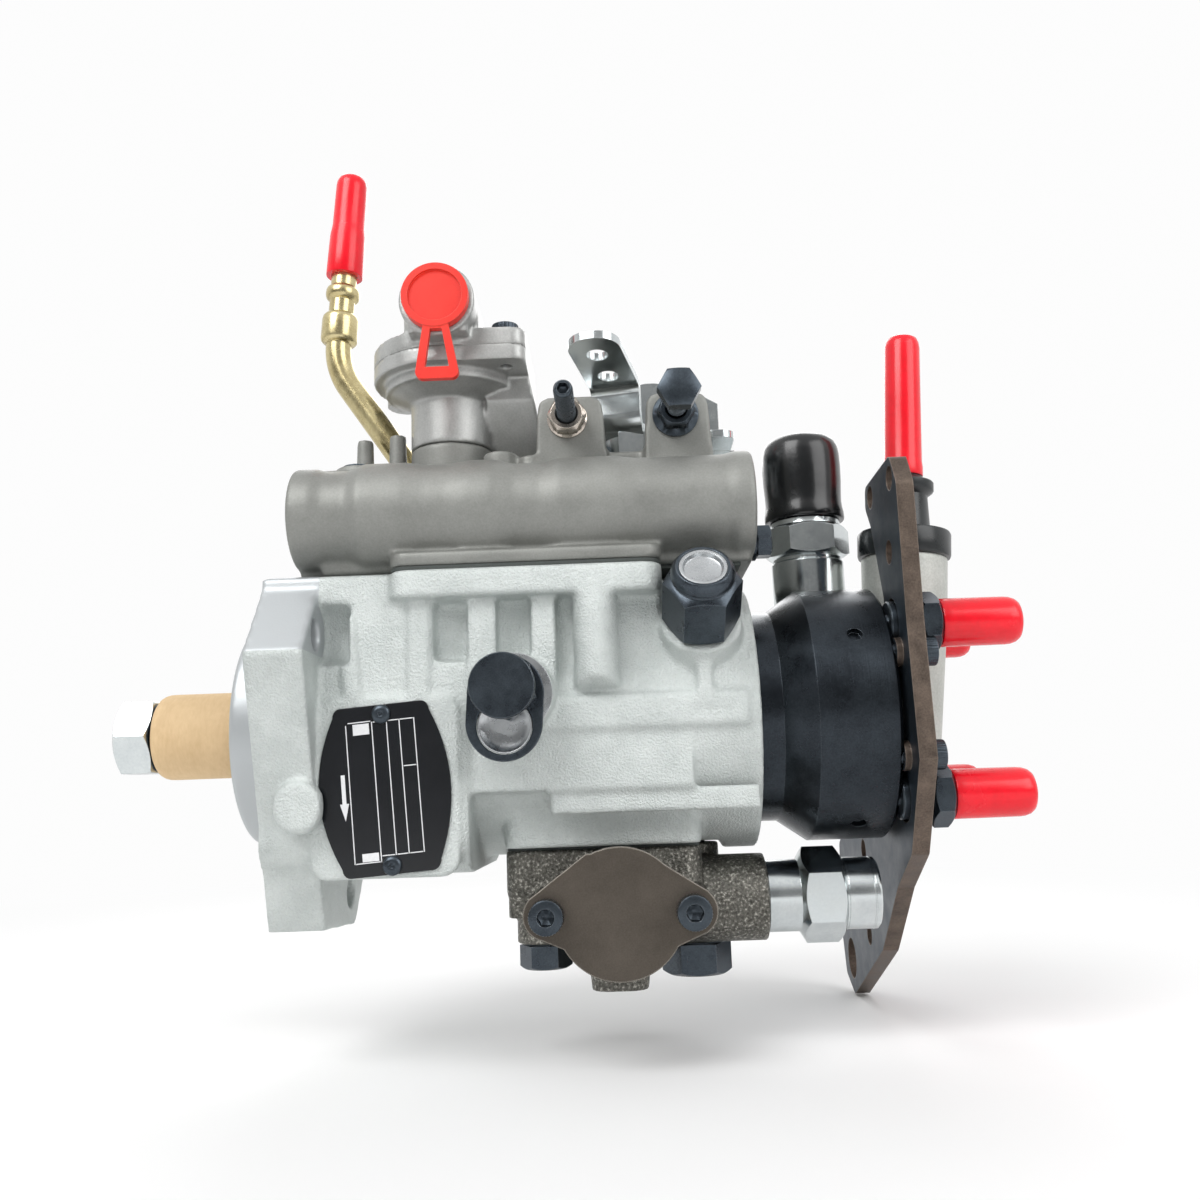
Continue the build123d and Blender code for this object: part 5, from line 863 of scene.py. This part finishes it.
cornerAngles = (18, 36, 54, 72, 90)
rightEdge, leftEdge = barrelSide(1, plateLook["bulge"][1]), barrelSide(-1, plateLook["bulge"][0])[::-1]
plateRim = []
for edge, side, end in ((rightEdge, 1, 1), (leftEdge, -1, -1)):
    plateRim += [cornerPoint(side, -end, angle) for angle in cornerAngles[::-1]]
    plateRim += edge
    plateRim += [cornerPoint(side, end, angle) for angle in cornerAngles]
plateSheet = plateShape([[onPlate(x, z) for x, z in plateRim]], plateLook["face"], plateLook["sheet"], 0.12)
finishPiece(joined("nameplate", [plateSheet]), "black_gloss_plate", ("nameplate",))

# nameplate print: pale frames, two blank blocks and the arrow for the direction of rotation
printLook = dict(face=plateFace, proud=0.03, line=0.28)
printUprights = [(-9.8, -19.3, 18.0), (-2.6, -19.3, 18.4), (1.5, -17.8, 18.4), (5.0, -17.8, 18.4),
                 (9.1, -17.8, 18.4)]
printRungs = [(18.7, -9.2, -2.9), (-19.3, -9.5, -2.9), (18.4, -2.3, 1.2), (18.4, 1.8, 4.7), (18.4, 5.3, 8.8),
              (-17.8, -2.3, 1.2), (-17.8, 1.8, 4.7), (-17.8, 5.3, 8.8), (5.6, 5.3, 8.8)]
printBlocks = [(-7.9, 15.2, -3.4, 18.2), (-7.7, -19.0, -3.2, -16.8)]
printArrow = [(-12.1, 4.8), (-11.0, 4.8), (-11.0, -3.0), (-10.3, -3.0), (-11.5, -7.7), (-12.8, -3.0),
              (-12.1, -3.0)]


def flatSheet(outlines, thickness):
    # thin closed sheets lying on the plate
    shape = bmesh.new()
    for outline in outlines:
        corners = [Vector(onPlate(*corner)) for corner in outline]
        low = [shape.verts.new((c.x * mm, printLook["face"] * mm, c.y * mm)) for c in corners]
        high = [shape.verts.new((c.x * mm, (printLook["face"] - thickness) * mm, c.y * mm)) for c in corners]
        shape.faces.new(low)
        shape.faces.new(list(reversed(high)))
        for i in range(len(corners)):
            after = (i + 1) % len(corners)
            shape.faces.new((low[after], low[i], high[i], high[after]))
    bmesh.ops.recalc_face_normals(shape, faces=shape.faces)
    mesh = bpy.data.meshes.new("print")
    shape.to_mesh(mesh)
    shape.free()
    return mesh


half = printLook["line"] / 2
strips = [[(x - half, low - half), (x + half, low - half), (x + half, high + half), (x - half, high + half)]
          for x, low, high in printUprights]
strips += [[(left, z - half), (right, z - half), (right, z + half), (left, z + half)]
           for z, left, right in printRungs]
blocks = [[(left, low), (right, low), (right, high), (left, high)] for left, low, right, high in printBlocks]
finishPiece(joined("nameplatePrint", [flatSheet(strips + blocks + [printArrow], printLook["proud"])]),
            "white_print")
print("nameplate print made")

# floor, light and camera
studio = dict(white=(0.98, 0.98, 0.98, 1), fill=0.5, shade=0.25, floorHeight=-96.0, reach=2.5)
world = bpy.data.worlds.new("studio")
bpy.context.scene.world = world
world.use_nodes = True
skyTree = world.node_tree
skyTree.nodes.clear()
ray = addNode(skyTree, "ShaderNodeLightPath")
# bright all round, darker low on the near side, where the room lies behind the lamps
toward = addNode(skyTree, "ShaderNodeTexCoord")
direction = addNode(skyTree, "ShaderNodeSeparateXYZ", links={0: toward.outputs["Generated"]})
near = addNode(skyTree, "ShaderNodeMapRange", {"interpolation_type": "SMOOTHSTEP", "From Min": 0.1,
                                               "From Max": -0.75, "To Min": 1.0, "To Max": studio["shade"]},
               {"Value": direction.outputs["Y"]})
high = addNode(skyTree, "ShaderNodeMapRange",
               {"interpolation_type": "SMOOTHSTEP", "From Min": 0.25, "From Max": 0.75},
               {"Value": direction.outputs["Z"]})
room = addNode(skyTree, "ShaderNodeMix", {"data_type": "FLOAT", "B": 1.0},
               {"Factor": high.outputs["Result"], "A": near.outputs["Result"]})
plain = addNode(skyTree, "ShaderNodeMath", {"operation": "MAXIMUM"},
                {0: ray.outputs["Is Camera Ray"], 1: ray.outputs["Is Transmission Ray"]})
seen = addNode(skyTree, "ShaderNodeMath", {"operation": "MAXIMUM"},
               {0: plain.outputs[0], 1: room.outputs["Result"]})
seenOrGlossy = addNode(skyTree, "ShaderNodeMath", {"operation": "MAXIMUM"},
                       {0: plain.outputs[0], 1: ray.outputs["Is Glossy Ray"]})
fill = addNode(skyTree, "ShaderNodeBackground", {"Color": studio["white"], "Strength": studio["fill"]})
backdrop = addNode(skyTree, "ShaderNodeBackground", {"Color": studio["white"]}, {"Strength": seen.outputs[0]})
sky = addNode(skyTree, "ShaderNodeMixShader",
              links={0: seenOrGlossy.outputs[0], 1: fill.outputs[0], 2: backdrop.outputs[0]})
addNode(skyTree, "ShaderNodeOutputWorld", links={"Surface": sky.outputs[0]})

floorMesh = bpy.data.meshes.new("floor")
shape = bmesh.new()
bmesh.ops.create_circle(shape, cap_ends=True, segments=96, radius=studio["reach"])
shape.to_mesh(floorMesh)
shape.free()
floorMesh.transform(Matrix.Translation((0.1, 0, studio["floorHeight"] * mm)))
floor = pieceFrom("floor", floorMesh)
paper = bpy.data.materials.new("white_paper")
paper.use_nodes = True
paperTree = paper.node_tree
paperTree.nodes.clear()
where = addNode(paperTree, "ShaderNodeTexCoord")
away = addNode(paperTree, "ShaderNodeVectorMath", {"operation": "LENGTH"}, {0: where.outputs["Object"]})
far = addNode(paperTree, "ShaderNodeMapRange",
              {"interpolation_type": "SMOOTHSTEP", "From Min": 0.22, "From Max": 0.8},
              {"Value": away.outputs["Value"]})
paperRay = addNode(paperTree, "ShaderNodeLightPath")
unseen = addNode(paperTree, "ShaderNodeMath", {"operation": "SUBTRACT", 0: 1.0},
                 {1: paperRay.outputs["Is Glossy Ray"]})
farSeen = addNode(paperTree, "ShaderNodeMath", {"operation": "MULTIPLY"},
                  {0: far.outputs["Result"], 1: unseen.outputs[0]})
sheet = addNode(paperTree, "ShaderNodeBsdfDiffuse", {"Color": (0.93, 0.93, 0.93, 1)})
glow = addNode(paperTree, "ShaderNodeEmission", {"Color": studio["white"], "Strength": 1.0})
blendPaper = addNode(paperTree, "ShaderNodeMixShader",
                     links={0: farSeen.outputs[0], 1: sheet.outputs[0], 2: glow.outputs[0]})
addNode(paperTree, "ShaderNodeOutputMaterial", links={"Surface": blendPaper.outputs[0]})
floorMesh.materials.append(paper)

lamps = {
    "keyLight": dict(place=(-0.45, -0.75, 0.85), size=0.7, power=9.0),
    "fillLight": dict(place=(0.75, -0.55, 0.45), size=0.6, power=3.5),
    "backLight": dict(place=(0.1, 0.8, 0.7), size=0.8, power=5.0),
}
aim = Vector((0.09, 0, 0.02))
for name, lamp in lamps.items():
    light = bpy.data.lights.new(name, "AREA")
    light.shape = "SQUARE"
    light.size = lamp["size"]
    light.energy = lamp["power"]
    holder = bpy.data.objects.new(name, light)
    holder.location = lamp["place"]
    holder.rotation_euler = (aim - Vector(lamp["place"])).to_track_quat("-Z", "Y").to_euler()
    bpy.context.scene.collection.objects.link(holder)

eye = dict(place=(100.0, -355.5, -23.1), turn=-0.0135, raised=0.1716, roll=-0.0355, lens=34.13)
forward = Vector((sin(eye["turn"]) * cos(eye["raised"]), cos(eye["turn"]) * cos(eye["raised"]),
                  sin(eye["raised"])))
level = Vector((cos(eye["turn"]), -sin(eye["turn"]), 0))
upright = level.cross(forward)
sideways = level * cos(eye["roll"]) + upright * sin(eye["roll"])
upward = upright * cos(eye["roll"]) - level * sin(eye["roll"])
cameraData = bpy.data.cameras.new("camera")
cameraData.lens = eye["lens"]
cameraData.sensor_width = 36
cameraData.clip_start = 0.01
camera = bpy.data.objects.new("camera", cameraData)
camera.matrix_world = Matrix.Translation(Vector(eye["place"]) * mm) @ Matrix((
    (sideways.x, upward.x, -forward.x, 0), (sideways.y, upward.y, -forward.y, 0),
    (sideways.z, upward.z, -forward.z, 0), (0, 0, 0, 1)))
bpy.context.scene.collection.objects.link(camera)
bpy.context.scene.camera = camera
bpy.context.scene.view_settings.view_transform = "Standard"
print("floor, lights and camera placed")

bpy.context.view_layer.update()
